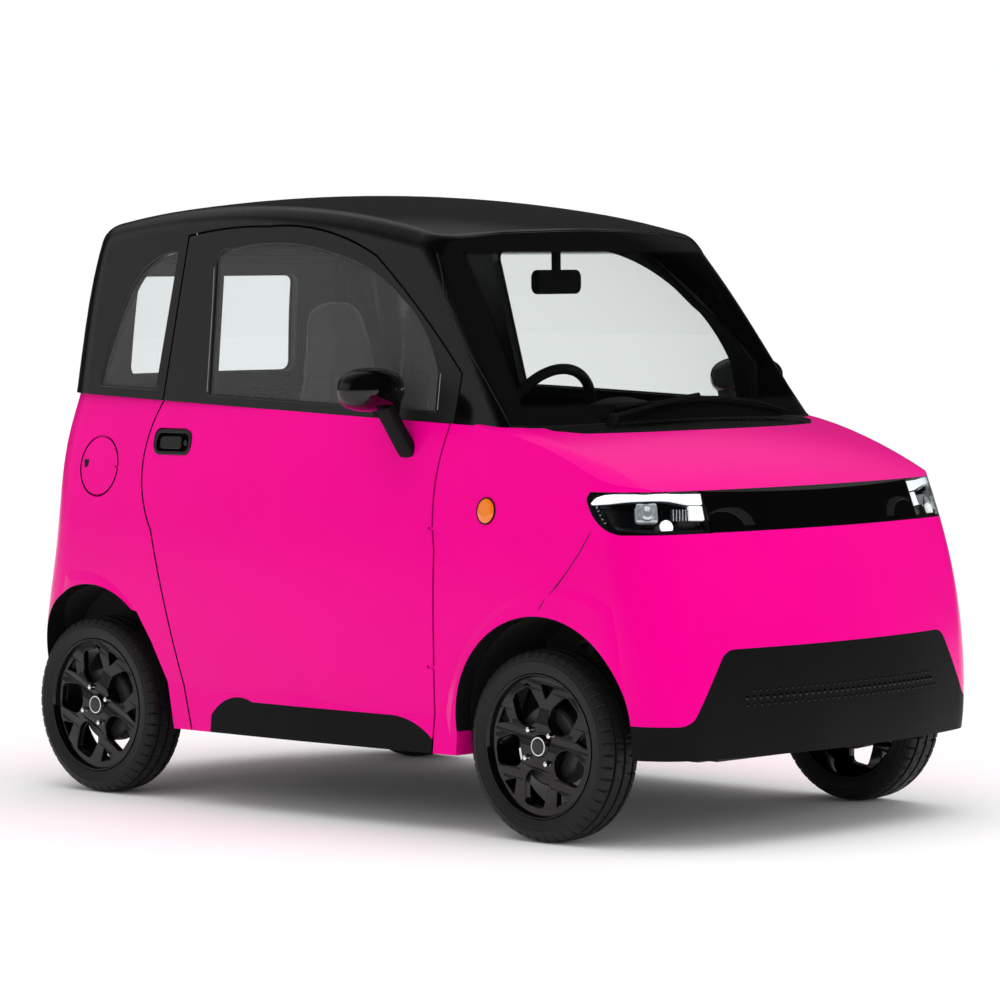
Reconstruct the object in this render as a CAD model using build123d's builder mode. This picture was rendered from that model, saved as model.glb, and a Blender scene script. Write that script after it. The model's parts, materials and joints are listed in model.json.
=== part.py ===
"""Two-seat electric microcar: body panels, opening doors, tailgate and charge flap, steered front wheels.

Millimetres. +Z is up, -Y is the front of the car, +X is the driver's left. The origin is on the
ground under the middle of the length.
"""

import os
from math import cos, hypot, radians, sin, sqrt

from build123d import *

os.makedirs("parts", exist_ok=True)

# ---- driving sizes -------------------------------------------------------------------------------
FRONT_END, REAR_END = -1310.0, 1310.0      # foremost and rearmost points of the body
FRONT_AXLE, REAR_AXLE = -820.0, 900.0      # axle lines along Y
WHEEL_R = 247.0                            # tyre radius, so also the height of the wheel centres
WHEEL_OUT = 671.0                          # outer face of each tyre from the middle plane
TYRE_W = 130.0
RIM_R = 184.0                              # where tyre meets rim
RIM_WALL = 10.0
BODY_LOW = 205.0                           # underside of the sills
PANEL = 45.0                               # thickness of the lower body, doors included
PILLAR = 32.0                              # thickness of the roof, pillars and window frames
HOOD_SKIN = 25.0
GLASS = 5.0
GLASS_SET = 4.0                            # how far glass lies below the outer surface
GAP = 6.0                                  # running gap round doors, tailgate and flap
SEAT_GAP = 0.3                             # running clearance at hinges, hubs and knuckles

FRONT_BULGE, REAR_BULGE, SIDE_BULGE = 2000.0, 1500.0, 14000.0   # plan radii
# height, half width, front set-back, rear set-back, front corner radius, rear corner radius
LOWER_ROWS = (
    (190, 674, 13, 12, 150, 150),
    (320, 684, 0, 1, 150, 150),
    (500, 694, 14, 15, 155, 150),
    (670, 693, 47, 51, 160, 150),
    (900, 672, 121, 72, 160, 150),
    (1040, 644, 168, 95, 150, 150),
    (1160, 620, 210, 128, 150, 150),
)
# height, half width, front Y, rear Y, front corner radius, rear corner radius
UPPER_ROWS = (
    (1030, 646, -787, 1207, 110, 150),
    (1240, 606, -634, 1184, 110, 130),
    (1450, 566, -474, 1156, 110, 116),
    (1700, 520, -205, 1050, 110, 110),
)
LOWER_MID, UPPER_MID = 150.0, 400.0        # where the sides bulge most, along Y

ROOF_TOP, ROOF_APEX_Y = 1668.0, 440.0
ROOF_LONG_R, ROOF_CROSS_R = 3200.0, 4200.0
ROOF_EDGE_R = 72.0                         # rounding of the roof's outer edge
BELT_Y, BELT_Z, BELT_SLOPE = -732.0, 1051.0, 0.03855
HOOD_BACK = -560.0                         # where the hood surface ends under the windscreen
# place along Y, then the height on the middle line, at x = 560, 640 and 690
HOOD_ROWS = (
    (-1320, 792, 750, 700, 600),
    (-1190, 890, 852, 806, 712),
    (-1050, 968, 930, 886, 795),
    (-900, 1026, 990, 957, 880),
    (-735, 1062, 1040, 1014, 960),
    (HOOD_BACK, 1080, 1064, 1058, 1050),
)
COWL_FRONT, COWL_SIDE, COWL_HALF = -862.0, -785.0, 450.0

LAMP_LOW, LAMP_TOP, LAMP_BACK, BAND_HALF = 793.0, 898.0, -962.0, 402.0
SKIRT_TOP = 315.0                          # top of the black lower bumper at its ends
SKIRT_LOW = 228.0
SILL_RISE, SILL_OUT, SILL_Y = 320.0, 9.0, -456.0   # crease above the sill, its step out at the bottom
SILL_SLOPE = 0.0784
GRILLE_TOP, GRILLE_TOP_HALF, GRILLE_LOW_HALF = 502.0, 430.0, 530.0

ARCH_R_FRONT, ARCH_Z_FRONT = 285.0, 293.0
ARCH_R_REAR, ARCH_Z_REAR = 287.0, 299.0
ARCH_IN = 400.0                            # wheel houses reach in to here at the front
FLARE_OUT, FLARE_RAMP = 12.0, 24.0         # how far the arch flares stand proud; width of their slope
# middle of the flare along Y and up, its radius, and a shift that sinks it into the corner
FLARES = ((-803.0, 318.0, 292.0, 60.0), (890.0, 322.0, 298.0, -60.0))

DOOR_ANGLE = 62.0
HINGE_Y = -461.0
HINGE_HEIGHTS = (430.0, 790.0)
TAIL_TOP, TAIL_LOW, TAIL_HALF_TOP, TAIL_HALF_LOW = 1490.0, 560.0, 430.0, 470.0
FLAP_Y, FLAP_Z, FLAP_R, FLAP_T = 890.0, 917.0, 80.0, 6.0

KINGPIN_X = 560.0
KNUCKLE_R, KNUCKLE_H = 24.0, 150.0
STUB_R = 18.0
FAR = 900.0                                # beyond the body on either side
HIGH = 1900.0                              # beyond the roof


def belt(y):
    """Height of the line where painted body meets the dark upper frame."""
    return BELT_Z + BELT_SLOPE * (y - BELT_Y)


def crossing(centre_a, radius_a, centre_b, radius_b):
    """Left-hand crossing of two circles."""
    dx, dy = centre_b[0] - centre_a[0], centre_b[1] - centre_a[1]
    gap = hypot(dx, dy)
    along = (radius_a**2 - radius_b**2 + gap**2) / (2 * gap)
    across = sqrt(radius_a**2 - along**2)
    px, py = centre_a[0] + along * dx / gap, centre_a[1] + along * dy / gap
    pair = [
        (px - across * dy / gap, py + across * dx / gap),
        (px + across * dy / gap, py - across * dx / gap),
    ]
    return min((p for p in pair), key=lambda p: p[0])


def at_radius(centre, radius, towards):
    """The point of a circle in the direction of another point."""
    dx, dy = towards[0] - centre[0], towards[1] - centre[1]
    reach = hypot(dx, dy)
    return (centre[0] + dx * radius / reach, centre[1] + dy * radius / reach)


def plan(z, half, front, rear, corner_f, corner_r, middle, inset):
    """One level of the body: bowed front, sides and rear with round corners, drawn in by inset."""
    half, front, rear = half - inset, front + inset, rear - inset
    front_r, rear_r, side_r = FRONT_BULGE - inset, REAR_BULGE - inset, SIDE_BULGE - inset
    corner_f, corner_r = corner_f - inset, corner_r - inset
    c_front, c_rear, c_side = (0, front + front_r), (0, rear - rear_r), (side_r - half, middle)
    k_front = crossing(c_front, front_r - corner_f, c_side, side_r - corner_f)
    k_rear = crossing(c_rear, rear_r - corner_r, c_side, side_r - corner_r)
    a, b = at_radius(c_front, front_r, k_front), at_radius(c_side, side_r, k_front)
    c, d = at_radius(c_side, side_r, k_rear), at_radius(c_rear, rear_r, k_rear)

    def middle_of(centre, radius, p, q):
        return at_radius(centre, radius, ((p[0] + q[0]) / 2, (p[1] + q[1]) / 2))

    right = [
        (a, middle_of(k_front, corner_f, a, b), b),
        (b, middle_of(c_side, side_r, b, c), c),
        (c, middle_of(k_rear, corner_r, c, d), d),
    ]
    left = [tuple((-p[0], p[1]) for p in reversed(arc)) for arc in reversed(right)]
    arcs = [*right, (d, (0, rear), (-d[0], d[1])), *left, ((-a[0], a[1]), (0, front), a)]
    with BuildSketch(Plane.XY.offset(z)) as level:
        with BuildLine():
            for arc in arcs:
                ThreePointArc(*arc)
        make_face()
    return level.sketch


def outline_edges(rows):
    """Closed outline in the active line: rows of two numbers end a line, rows of four end an arc."""
    last = rows[0]
    for row in (*rows[1:], rows[0]):
        if len(row) == 2:
            Line(last, row)
        else:
            ThreePointArc(last, row[:2], row[2:])
        last = row[-2:]


def side_region(points, near, far, mode=Mode.ADD):
    """An outline in side view, (y, z) points, carried across from x = near to x = far."""
    with BuildSketch(Plane.YZ.offset(near)) as outline:
        with BuildLine():
            outline_edges(points)
        make_face()
    extrude(outline.sketch, amount=far - near, mode=mode)


def front_region(points, near, far, mode=Mode.ADD, soft=0.0):
    """An outline in front view, (x, z) points, carried from y = near back to y = far."""
    with BuildSketch(Plane.XZ.offset(-near)) as outline:
        with BuildLine():
            Polyline(*points, close=True)
        make_face()
        if soft:
            fillet(outline.vertices(), soft)
    extrude(outline.sketch, amount=near - far, mode=mode)


def block(x0, x1, y0, y1, z0, z1, mode=Mode.ADD):
    with Locations(((x0 + x1) / 2, (y0 + y1) / 2, (z0 + z1) / 2)):
        Box(x1 - x0, y1 - y0, z1 - z0, mode=mode)


def rod(centre, radius, length, mode=Mode.ADD, axis="z"):
    turn = {"x": (0, 90, 0), "y": (90, 0, 0), "z": (0, 0, 0)}[axis]
    with Locations(centre):
        Cylinder(radius, length, rotation=turn, mode=mode)


def keep(part, name):
    part.label = name
    export_step(part, f"parts/{name}.step")


# ---- body volumes that the panels are cut from ---------------------------------------------------
def lower_volume(inset):
    with BuildPart() as made:
        for z, half, front, rear, corner_f, corner_r in LOWER_ROWS:
            add(plan(z, half, FRONT_END + front, REAR_END - rear, corner_f, corner_r, LOWER_MID, inset))
        loft()
    return made.part


def upper_volume(inset):
    with BuildPart() as made:
        for z, half, front, rear, corner_f, corner_r in UPPER_ROWS:
            add(plan(z, half, front, rear, corner_f, corner_r, UPPER_MID, inset))
        loft()
    return made.part


def above_roof(drop):
    """Everything above the roof surface, lowered by drop."""
    edge = FAR
    sag = ROOF_CROSS_R - sqrt(ROOF_CROSS_R**2 - edge**2)
    top = ROOF_TOP - drop
    with BuildPart() as made:
        with BuildSketch(Plane.XZ.offset(-ROOF_APEX_Y)):
            with BuildLine():
                ThreePointArc((-edge, top - sag), (0, top), (edge, top - sag))
                Polyline((edge, top - sag), (edge, HIGH + 200), (-edge, HIGH + 200), (-edge, top - sag))
            make_face()
        revolve(axis=Axis((0, ROOF_APEX_Y, ROOF_TOP - ROOF_LONG_R), (1, 0, 0)), revolution_arc=40)
    return made.part, made.part.mirror(Plane.XZ.offset(-ROOF_APEX_Y))


def above_hood(drop):
    """Everything above the hood surface, lowered by drop, forward of the windscreen."""
    with BuildPart() as made:
        for y, centre, shoulder, edge, outer in HOOD_ROWS:
            with BuildSketch(Plane.XZ.offset(-y)):
                with BuildLine():
                    ThreePointArc((-560, shoulder - drop), (0, centre - drop), (560, shoulder - drop))
                    ThreePointArc((560, shoulder - drop), (640, edge - drop), (690, outer - drop))
                    Polyline(
                        (690, outer - drop), (FAR, outer - drop), (FAR, HIGH), (-FAR, HIGH),
                        (-FAR, outer - drop), (-690, outer - drop),
                    )
                    ThreePointArc((-690, outer - drop), (-640, edge - drop), (-560, shoulder - drop))
                make_face()
        loft()
    return made.part


# ---- outlines in side view, (y, z) ---------------------------------------------------------------
# Two numbers end a line, four numbers end an arc that passes through the first pair.
DOOR_OUTLINE = (
    (-447, 150), (-461, 475), (-461, 735), (-449, 900, -476, 1066), (-482, 1190), (-302, 1358, -127, 1497),
    (60, 1562, 300, 1580), (480, 1575, 621, 1557), (640, 1112), (697, 950, 642, 748), (455, 150),
)
DOOR_WINDOW = (
    (-405, 1089), (-400, 1190), (-330, 1305, -241, 1384), (-110, 1462, 40, 1508), (230, 1535, 440, 1519),
    (483, 1509, 492, 1470), (454, 1120),
)
DOOR_TRIM = (
    (-480, 150), (-480, 212), (-400, 272, -290, 296), (230, 297), (345, 292, 394, 252), (400, 150),
)
QUARTER_WINDOW = ((676, 1132), (925, 1140), (903, 1250, 862, 1370), (780, 1478, 655, 1514))
LAMP_CURVE = ((LAMP_BACK, 882.0), (-1001, 824, -1069, LAMP_LOW))   # rear edge of the lamp, downwards
COVER_TOP = 829.0                          # where the bumper seam meets the lamp
COVER = (
    (-998, COVER_TOP), (-937, 727), (-845, 622), (FRONT_AXLE, 560), (FRONT_AXLE, 100), (-1500, 100),
    (-1500, COVER_TOP),
)
LAMPS = ((LAMP_BACK - 10, LAMP_TOP), *LAMP_CURVE, (-1500, LAMP_LOW), (-1500, LAMP_TOP))
REAR_ARCH_LEAD = ((900, 560), (700, 520), (640, 440), (577, 330), (533, 150), (900, 150))
DASH = (
    (-529, 700), (-430, 740), (-330, 850), (-250, 960), (-250, 1035), (-290, 1052), (-640, 1052), (-640, 906),
    (-529, 906),
)

# ---- shells ----------------------------------------------------------------------------------------
hood_over, hood_under = above_hood(0), above_hood(HOOD_SKIN)
BELT_ABOVE = ((HOOD_BACK, belt(HOOD_BACK)), (1500, belt(1500)), (1500, HIGH), (HOOD_BACK, HIGH))
BELT_BELOW = ((HOOD_BACK, belt(HOOD_BACK)), (1500, belt(1500)), (1500, 0), (HOOD_BACK, 0))


def roofed(drop):
    """Cuts the active solid off at the roof surface, lowered by drop."""
    for half in above_roof(drop):
        add(half, mode=Mode.SUBTRACT)


with BuildPart() as lower_hollow:
    add(lower_volume(PANEL))
    add(hood_under, mode=Mode.SUBTRACT)

with BuildPart() as proud:
    add(lower_volume(-FLARE_OUT))

with BuildPart() as flares:
    for y, z, radius, shift in FLARES:
        with BuildPart() as flare:
            for side in (-1, 1):
                with Locations(Location((side * 650, y, z), (0, side * 90, 0))):
                    Cone(radius + FLARE_RAMP * 8, radius - FLARE_RAMP * 2, 80)
            add(proud.part.moved(Location((0, shift, 0))), mode=Mode.INTERSECT)
        add(flare.part)

with BuildPart() as sill:
    for side in (-1, 1):
        for y0, y1 in ((-560, 60), (60, 660)):
            ends = []
            for y in (y0, y1):
                rise = SILL_RISE + SILL_SLOPE * (y - SILL_Y)
                skin = 684 - (y - LOWER_MID) ** 2 / (2 * SIDE_BULGE)
                ends.append(
                    Wire.make_polygon([
                        (side * (skin - 30), y, rise), (side * skin, y, rise),
                        (side * (skin + SILL_OUT), y, BODY_LOW - 10), (side * (skin - 30), y, BODY_LOW - 10),
                    ])
                )
            add(Solid.make_loft(ends, ruled=True))

with BuildPart() as tub:
    add(lower_volume(0))
    add(flares.part)
    add(sill.part)
    add(hood_over, mode=Mode.SUBTRACT)
    side_region(BELT_ABOVE, -FAR, FAR, Mode.SUBTRACT)
    block(-FAR, FAR, -1500, 1500, 0, BODY_LOW, Mode.SUBTRACT)
    add(lower_hollow.part, mode=Mode.SUBTRACT)

with BuildPart() as under_hood:
    block(-FAR, FAR, -1500, HOOD_BACK, 0, HIGH)
    add(hood_over, mode=Mode.SUBTRACT)

with BuildPart() as upper_hollow:
    add(upper_volume(PILLAR))
    roofed(PILLAR)

with BuildPart() as upper_solid:
    add(upper_volume(0))
    roofed(0)
    side_region(BELT_BELOW, -FAR, FAR, Mode.SUBTRACT)
    add(under_hood.part, mode=Mode.SUBTRACT)
    rim_edges = [
        edge for edge in upper_solid.edges()
        if edge.bounding_box().min.Z > ROOF_TOP - 150 and edge.length > 60 and edge.geom_type != GeomType.CIRCLE
    ]
    fillet(rim_edges, ROOF_EDGE_R)

with BuildPart() as canopy:
    add(upper_solid.part)
    add(upper_hollow.part, mode=Mode.SUBTRACT)

with BuildPart() as glass_layer:
    add(upper_volume(GLASS_SET))
    roofed(GLASS_SET)
    side_region(BELT_BELOW, -FAR, FAR, Mode.SUBTRACT)
    add(under_hood.part, mode=Mode.SUBTRACT)
    add(upper_volume(GLASS_SET + GLASS), mode=Mode.SUBTRACT)


def outline_prism(points, grow, near, far):
    """A side-view outline grown by a gap and carried across one side of the car."""
    with BuildPart() as made:
        with BuildSketch(Plane.YZ.offset(near)) as outline:
            with BuildLine():
                outline_edges(points)
            make_face()
            if grow:
                offset(amount=grow, kind=Kind.INTERSECTION)
        extrude(outline.sketch, amount=far - near)
    return made.part


door_hole = outline_prism(DOOR_OUTLINE, GAP / 2, -FAR, -300)
door_blank = outline_prism(DOOR_OUTLINE, -GAP / 2, -FAR, -300)
window_hole = outline_prism(DOOR_WINDOW, 0, -FAR, -300)
quarter_hole = outline_prism(QUARTER_WINDOW, 0, -FAR, -300)
SIDES = (("right", False), ("left", True))


def sided(part, flip):
    return part.mirror(Plane.YZ) if flip else part


with BuildPart() as arches:
    rod((-650, FRONT_AXLE, ARCH_Z_FRONT), ARCH_R_FRONT, 500, axis="x")
    block(-FAR, -ARCH_IN, FRONT_AXLE - ARCH_R_FRONT, FRONT_AXLE + ARCH_R_FRONT, 100, ARCH_Z_FRONT)
    rod((-700, REAR_AXLE, ARCH_Z_REAR), ARCH_R_REAR, 400, axis="x")
    block(-FAR, -500, REAR_AXLE - 100, REAR_AXLE + ARCH_R_REAR, 100, ARCH_Z_REAR)
    side_region(REAR_ARCH_LEAD, -FAR, -500)

TAIL = ((-TAIL_HALF_LOW, TAIL_LOW), (TAIL_HALF_LOW, TAIL_LOW), (TAIL_HALF_TOP, TAIL_TOP), (-TAIL_HALF_TOP, TAIL_TOP))
TAIL_WINDOW = ((-327, 1160), (327, 1160), (313, 1448), (-313, 1448))
TAIL_WINDOW_SOFT = 28.0
WINDSCREEN_TOP = 1562.0                    # at the middle
WINDSCREEN = (
    (-584, 1030), (584, 1030), (570, 1240), (553, 1380), (520, 1500), (482, 1538), (300, WINDSCREEN_TOP - 7),
    (0, WINDSCREEN_TOP), (-300, WINDSCREEN_TOP - 7), (-482, 1538), (-520, 1500), (-553, 1380), (-570, 1240),
)


def tail_region(grow, mode):
    (x0, z0), _, (x1, z1), _ = TAIL
    points = (
        (x0 - grow, z0 - grow), (-x0 + grow, z0 - grow), (x1 + grow, z1 + grow), (-x1 - grow, z1 + grow)
    )
    front_region(points, 800, 1500, mode)


# ---- painted body ----------------------------------------------------------------------------------
with BuildPart() as tub_open:
    add(tub.part)
    for _, flip in SIDES:
        add(sided(door_hole, flip), mode=Mode.SUBTRACT)
        add(sided(arches.part, flip), mode=Mode.SUBTRACT)

with BuildPart() as cowl_region:
    with BuildSketch(Plane.XY.offset(LAMP_TOP)):
        with BuildLine():
            ThreePointArc((-COWL_HALF, COWL_SIDE), (0, COWL_FRONT), (COWL_HALF, COWL_SIDE))
            Polyline(
                (COWL_HALF, COWL_SIDE), (510, -735), (522, -640), (522, -400), (-522, -400), (-522, -640),
                (-510, -735), (-COWL_HALF, COWL_SIDE),
            )
        make_face()
    extrude(amount=400)

with BuildPart() as cowl:
    add(tub_open.part)
    add(cowl_region.part, mode=Mode.INTERSECT)

with BuildPart() as front_body:
    add(tub_open.part)
    add(cowl_region.part, mode=Mode.SUBTRACT)
    block(-FAR, FAR, 0, 1500, 0, HIGH, Mode.SUBTRACT)
    side_region(COVER, -FAR, FAR, Mode.SUBTRACT)
    side_region(LAMPS, -FAR, FAR, Mode.SUBTRACT)

SKIRT = (
    (-FAR, 0), (FAR, 0), (FAR, SKIRT_TOP), (GRILLE_LOW_HALF + 12, SKIRT_TOP), (GRILLE_TOP_HALF, GRILLE_TOP),
    (-GRILLE_TOP_HALF, GRILLE_TOP), (-GRILLE_LOW_HALF - 12, SKIRT_TOP), (-FAR, SKIRT_TOP),
)
SKIRT_SOFT = 52.0
with BuildPart() as front_bumper:
    add(tub_open.part)
    side_region(COVER, -FAR, FAR, Mode.INTERSECT)
    side_region(LAMPS, -FAR, FAR, Mode.SUBTRACT)
    front_region(SKIRT, -1500, -500, Mode.SUBTRACT, SKIRT_SOFT)

with BuildPart() as lower_bumper:
    add(tub_open.part)
    side_region(COVER, -FAR, FAR, Mode.INTERSECT)
    front_region(SKIRT, -1500, -500, Mode.INTERSECT, SKIRT_SOFT)
    block(-FAR, FAR, -1500, -500, 0, SKIRT_LOW, Mode.SUBTRACT)

with BuildPart() as nose_band:
    add(tub_open.part)
    side_region(LAMPS, -BAND_HALF, BAND_HALF, Mode.INTERSECT)

with BuildPart() as headlight:
    add(tub_open.part)
    side_region(LAMPS, -FAR, -BAND_HALF, Mode.INTERSECT)

BUMPER_FRONT, BUMPER_TOP, BUMPER_LOW = 1105.0, TAIL_LOW, 300.0
with BuildPart() as rear_bumper:
    add(tub_open.part)
    block(-FAR, FAR, BUMPER_FRONT, 1500, BUMPER_LOW, BUMPER_TOP, Mode.INTERSECT)

LAMP_R_IN, LAMP_R_LOW, LAMP_R_HIGH, LAMP_R_FRONT = 482.0, 948.0, 1044.0, 1120.0
with BuildPart() as tail_lamp:
    add(tub_open.part)
    block(-FAR, -LAMP_R_IN, LAMP_R_FRONT, 1500, LAMP_R_LOW, LAMP_R_HIGH, Mode.INTERSECT)

with BuildPart() as quarter:
    add(tub_open.part)
    block(-FAR, -60, 0, 1500, 0, HIGH, Mode.INTERSECT)
    block(-FAR, 0, BUMPER_FRONT, 1500, 0, BUMPER_TOP, Mode.SUBTRACT)
    tail_region(GAP / 2, Mode.SUBTRACT)
    block(-FAR, -LAMP_R_IN, LAMP_R_FRONT, 1500, LAMP_R_LOW, LAMP_R_HIGH, Mode.SUBTRACT)

with BuildPart() as tailgate:
    add(tub_open.part)
    add(canopy.part)
    tail_region(-GAP / 2, Mode.INTERSECT)
    front_region(TAIL_WINDOW, 700, 1500, Mode.SUBTRACT, TAIL_WINDOW_SOFT)

with BuildPart() as tailgate_glass:
    add(glass_layer.part)
    front_region(TAIL_WINDOW, 700, 1500, Mode.INTERSECT, TAIL_WINDOW_SOFT)

# ---- dark upper frame and glass --------------------------------------------------------------------
with BuildPart() as roof:
    add(canopy.part)
    for _, flip in SIDES:
        add(sided(door_hole, flip), mode=Mode.SUBTRACT)
        add(sided(quarter_hole, flip), mode=Mode.SUBTRACT)
    tail_region(GAP / 2, Mode.SUBTRACT)
    front_region(WINDSCREEN, -1000, -50, Mode.SUBTRACT)

with BuildPart() as windscreen:
    add(glass_layer.part)
    front_region(WINDSCREEN, -1000, -50, Mode.INTERSECT)

with BuildPart() as quarter_glass:
    add(glass_layer.part)
    add(quarter_hole, mode=Mode.INTERSECT)

with BuildPart() as door_glass:
    add(glass_layer.part)
    add(window_hole, mode=Mode.INTERSECT)

with BuildPart() as door_shell:
    add(tub.part)
    add(canopy.part)
    add(door_blank, mode=Mode.INTERSECT)
    add(window_hole, mode=Mode.SUBTRACT)

with BuildPart() as door_trim:
    add(door_shell.part)
    side_region(DOOR_TRIM, -FAR, -300, Mode.INTERSECT)

with BuildPart() as door:
    add(door_shell.part)
    side_region(DOOR_TRIM, -FAR, -300, Mode.SUBTRACT)

# ---- hinges: a tongue on the fixed side turns in a slot of the moving side -----------------------------
TONGUE_R, TONGUE_T, TONGUE_CLEAR = 22.0, 8.0, 4.0
HINGE_X = -681.0                           # door axis, at the outer skin
TAIL_HINGE_Y, TAIL_HINGE_Z = 1150.0, TAIL_TOP
TAIL_HINGE_X, TAIL_TONGUE_R = 110.0, 30.0
FLAP_HINGE_Y = FLAP_Y - FLAP_R - GAP / 2


with BuildPart() as skin_inside:
    add(lower_volume(3))

with BuildPart() as door_tongues:
    for z in HINGE_HEIGHTS:
        rod((HINGE_X, HINGE_Y, z), TONGUE_R, TONGUE_T)
    add(skin_inside.part, mode=Mode.INTERSECT)

with BuildPart() as door_slots:
    for z in HINGE_HEIGHTS:
        rod((HINGE_X, HINGE_Y, z), TONGUE_R + TONGUE_CLEAR, TONGUE_T + 2 * SEAT_GAP)
    block(-FAR, 0, HINGE_Y + GAP / 2, 0, 0, HIGH, Mode.INTERSECT)

with BuildPart() as canopy_inside:
    add(upper_volume(3))

with BuildPart() as tail_tongues:
    for x in (-TAIL_HINGE_X, TAIL_HINGE_X):
        rod((x, TAIL_HINGE_Y, TAIL_HINGE_Z), TAIL_TONGUE_R, TONGUE_T, axis="x")
    add(canopy_inside.part, mode=Mode.INTERSECT)

with BuildPart() as tail_slots:
    for x in (-TAIL_HINGE_X, TAIL_HINGE_X):
        rod((x, TAIL_HINGE_Y, TAIL_HINGE_Z), TAIL_TONGUE_R + TONGUE_CLEAR, TONGUE_T + 2 * SEAT_GAP, axis="x")
    block(-FAR, FAR, 800, 1500, 0, TAIL_HINGE_Z - GAP / 2, Mode.INTERSECT)

# ---- handle pocket and charge flap ---------------------------------------------------------------------
HANDLE_Y, HANDLE_Z, HANDLE_L, HANDLE_H, HANDLE_D = 588.0, 995.0, 150.0, 68.0, 28.0
HANDLE_SKIN = -645.0                       # outer skin at the handle


with BuildPart() as handle_pocket:
    with BuildSketch(Plane.YZ.offset(HANDLE_SKIN + HANDLE_D)) as outline:
        with Locations((HANDLE_Y, HANDLE_Z)):
            RectangleRounded(HANDLE_L, HANDLE_H, 26)
    extrude(outline.sketch, amount=-200)

FLAP_SKIN = -653.0                         # outer skin at the flap
FLAP_POCKET = 26.0
with BuildPart() as flap:
    add(lower_volume(0))
    add(lower_volume(FLAP_T), mode=Mode.SUBTRACT)
    rod((-600, FLAP_Y, FLAP_Z), FLAP_R, 300, Mode.INTERSECT, axis="x")

with BuildPart() as flap_pocket:
    with Locations((FLAP_SKIN + FLAP_POCKET - 100, FLAP_Y, FLAP_Z)):
        Cylinder(FLAP_R + GAP, 200, rotation=(0, 90, 0))

with BuildPart() as flap_tongue:
    rod((FLAP_SKIN, FLAP_HINGE_Y, FLAP_Z), 9, 4)
    add(skin_inside.part, mode=Mode.INTERSECT)

with BuildPart() as front_body_hinged:
    add(front_body.part)
    for _, flip in SIDES:
        add(sided(door_tongues.part, flip))

with BuildPart() as door_hinged:
    add(door.part)
    add(door_slots.part, mode=Mode.SUBTRACT)
    add(handle_pocket.part, mode=Mode.SUBTRACT)

with BuildPart() as roof_hinged:
    add(roof.part)
    add(tail_tongues.part)

with BuildPart() as tailgate_hinged:
    add(tailgate.part)
    add(tail_slots.part, mode=Mode.SUBTRACT)

with BuildPart() as quarter_flap:
    add(quarter.part)
    add(flap_pocket.part, mode=Mode.SUBTRACT)

# ---- chassis: floor, bulkheads and front arms ------------------------------------------------------------
FLOOR_Z, FLOOR_T = BODY_LOW, 30.0
MOTOR_R = 95.0
REAR_FLOOR_Z = WHEEL_R + MOTOR_R + 8
DOOR_CLEAR = 612.0                         # chassis half width beside the doors
BULKHEAD_Y, BULKHEAD_T, BULKHEAD_TOP = -560.0, 30.0, 906.0
REAR_WALL_Y, REAR_WALL_T, REAR_WALL_TOP = 600.0, 30.0, 620.0
ARM_RISE, ARM_T, ARM_W = 85.0, 20.0, 44.0  # above and below the wheel centre; thickness; width
ARM_X0, ARM_X1 = 330.0, KINGPIN_X - 8

with BuildPart() as chassis:
    block(-DOOR_CLEAR, DOOR_CLEAR, -530, 600, FLOOR_Z, FLOOR_Z + FLOOR_T)
    block(-350, 350, -1150, -530, FLOOR_Z, FLOOR_Z + FLOOR_T)
    block(-480, 480, 600, 1180, REAR_FLOOR_Z, REAR_FLOOR_Z + FLOOR_T)
    block(-FAR, FAR, BULKHEAD_Y, BULKHEAD_Y + BULKHEAD_T, FLOOR_Z, BULKHEAD_TOP)
    block(-FAR, FAR, REAR_WALL_Y, REAR_WALL_Y + REAR_WALL_T, FLOOR_Z, REAR_WALL_TOP)
    for side in (-1, 1):
        x0, x1 = sorted((side * 330, side * 390))
        block(x0, x1, -1120, BULKHEAD_Y, FLOOR_Z, 480)
        for rise in (-ARM_RISE - ARM_T, ARM_RISE):
            a0, a1 = sorted((side * ARM_X0, side * ARM_X1))
            low = WHEEL_R + rise
            block(a0, a1, FRONT_AXLE - ARM_W / 2, FRONT_AXLE + ARM_W / 2, low, low + ARM_T)
            rod((side * KINGPIN_X, FRONT_AXLE, low + ARM_T / 2), ARM_W / 2, ARM_T)
    add(lower_hollow.part, mode=Mode.INTERSECT)
    for side in (-1, 1):
        w0, w1 = sorted((side * ARCH_IN, side * FAR))
        block(w0, w1, BULKHEAD_Y - 5, BULKHEAD_Y + BULKHEAD_T + 1, 0, 430, Mode.SUBTRACT)
        r0, r1 = sorted((side * 530, side * FAR))
        block(r0, r1, 590, 700, 0, 480, Mode.SUBTRACT)

BATTERY = (-250, 250, -300, 330, FLOOR_Z + FLOOR_T, FLOOR_Z + FLOOR_T + 150)
with BuildPart() as battery:
    block(*BATTERY)
    fillet(battery.edges().filter_by(Axis.Z), 20)

# ---- axles and wheels ------------------------------------------------------------------------------------
WHEEL_X = WHEEL_OUT - TYRE_W / 2
DISC_X, DISC_T = 22.0, 22.0                # face of the spokes outward of the wheel middle; its thickness
HUB_R, BARREL_T = 68.0, 9.0
with BuildPart() as knuckle:
    rod((-KINGPIN_X, FRONT_AXLE, WHEEL_R), KNUCKLE_R, 2 * ARM_RISE - 2 * SEAT_GAP)
    rod((-(KINGPIN_X + WHEEL_X + DISC_X) / 2, FRONT_AXLE, WHEEL_R), STUB_R, WHEEL_X + DISC_X - KINGPIN_X, axis="x")

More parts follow.
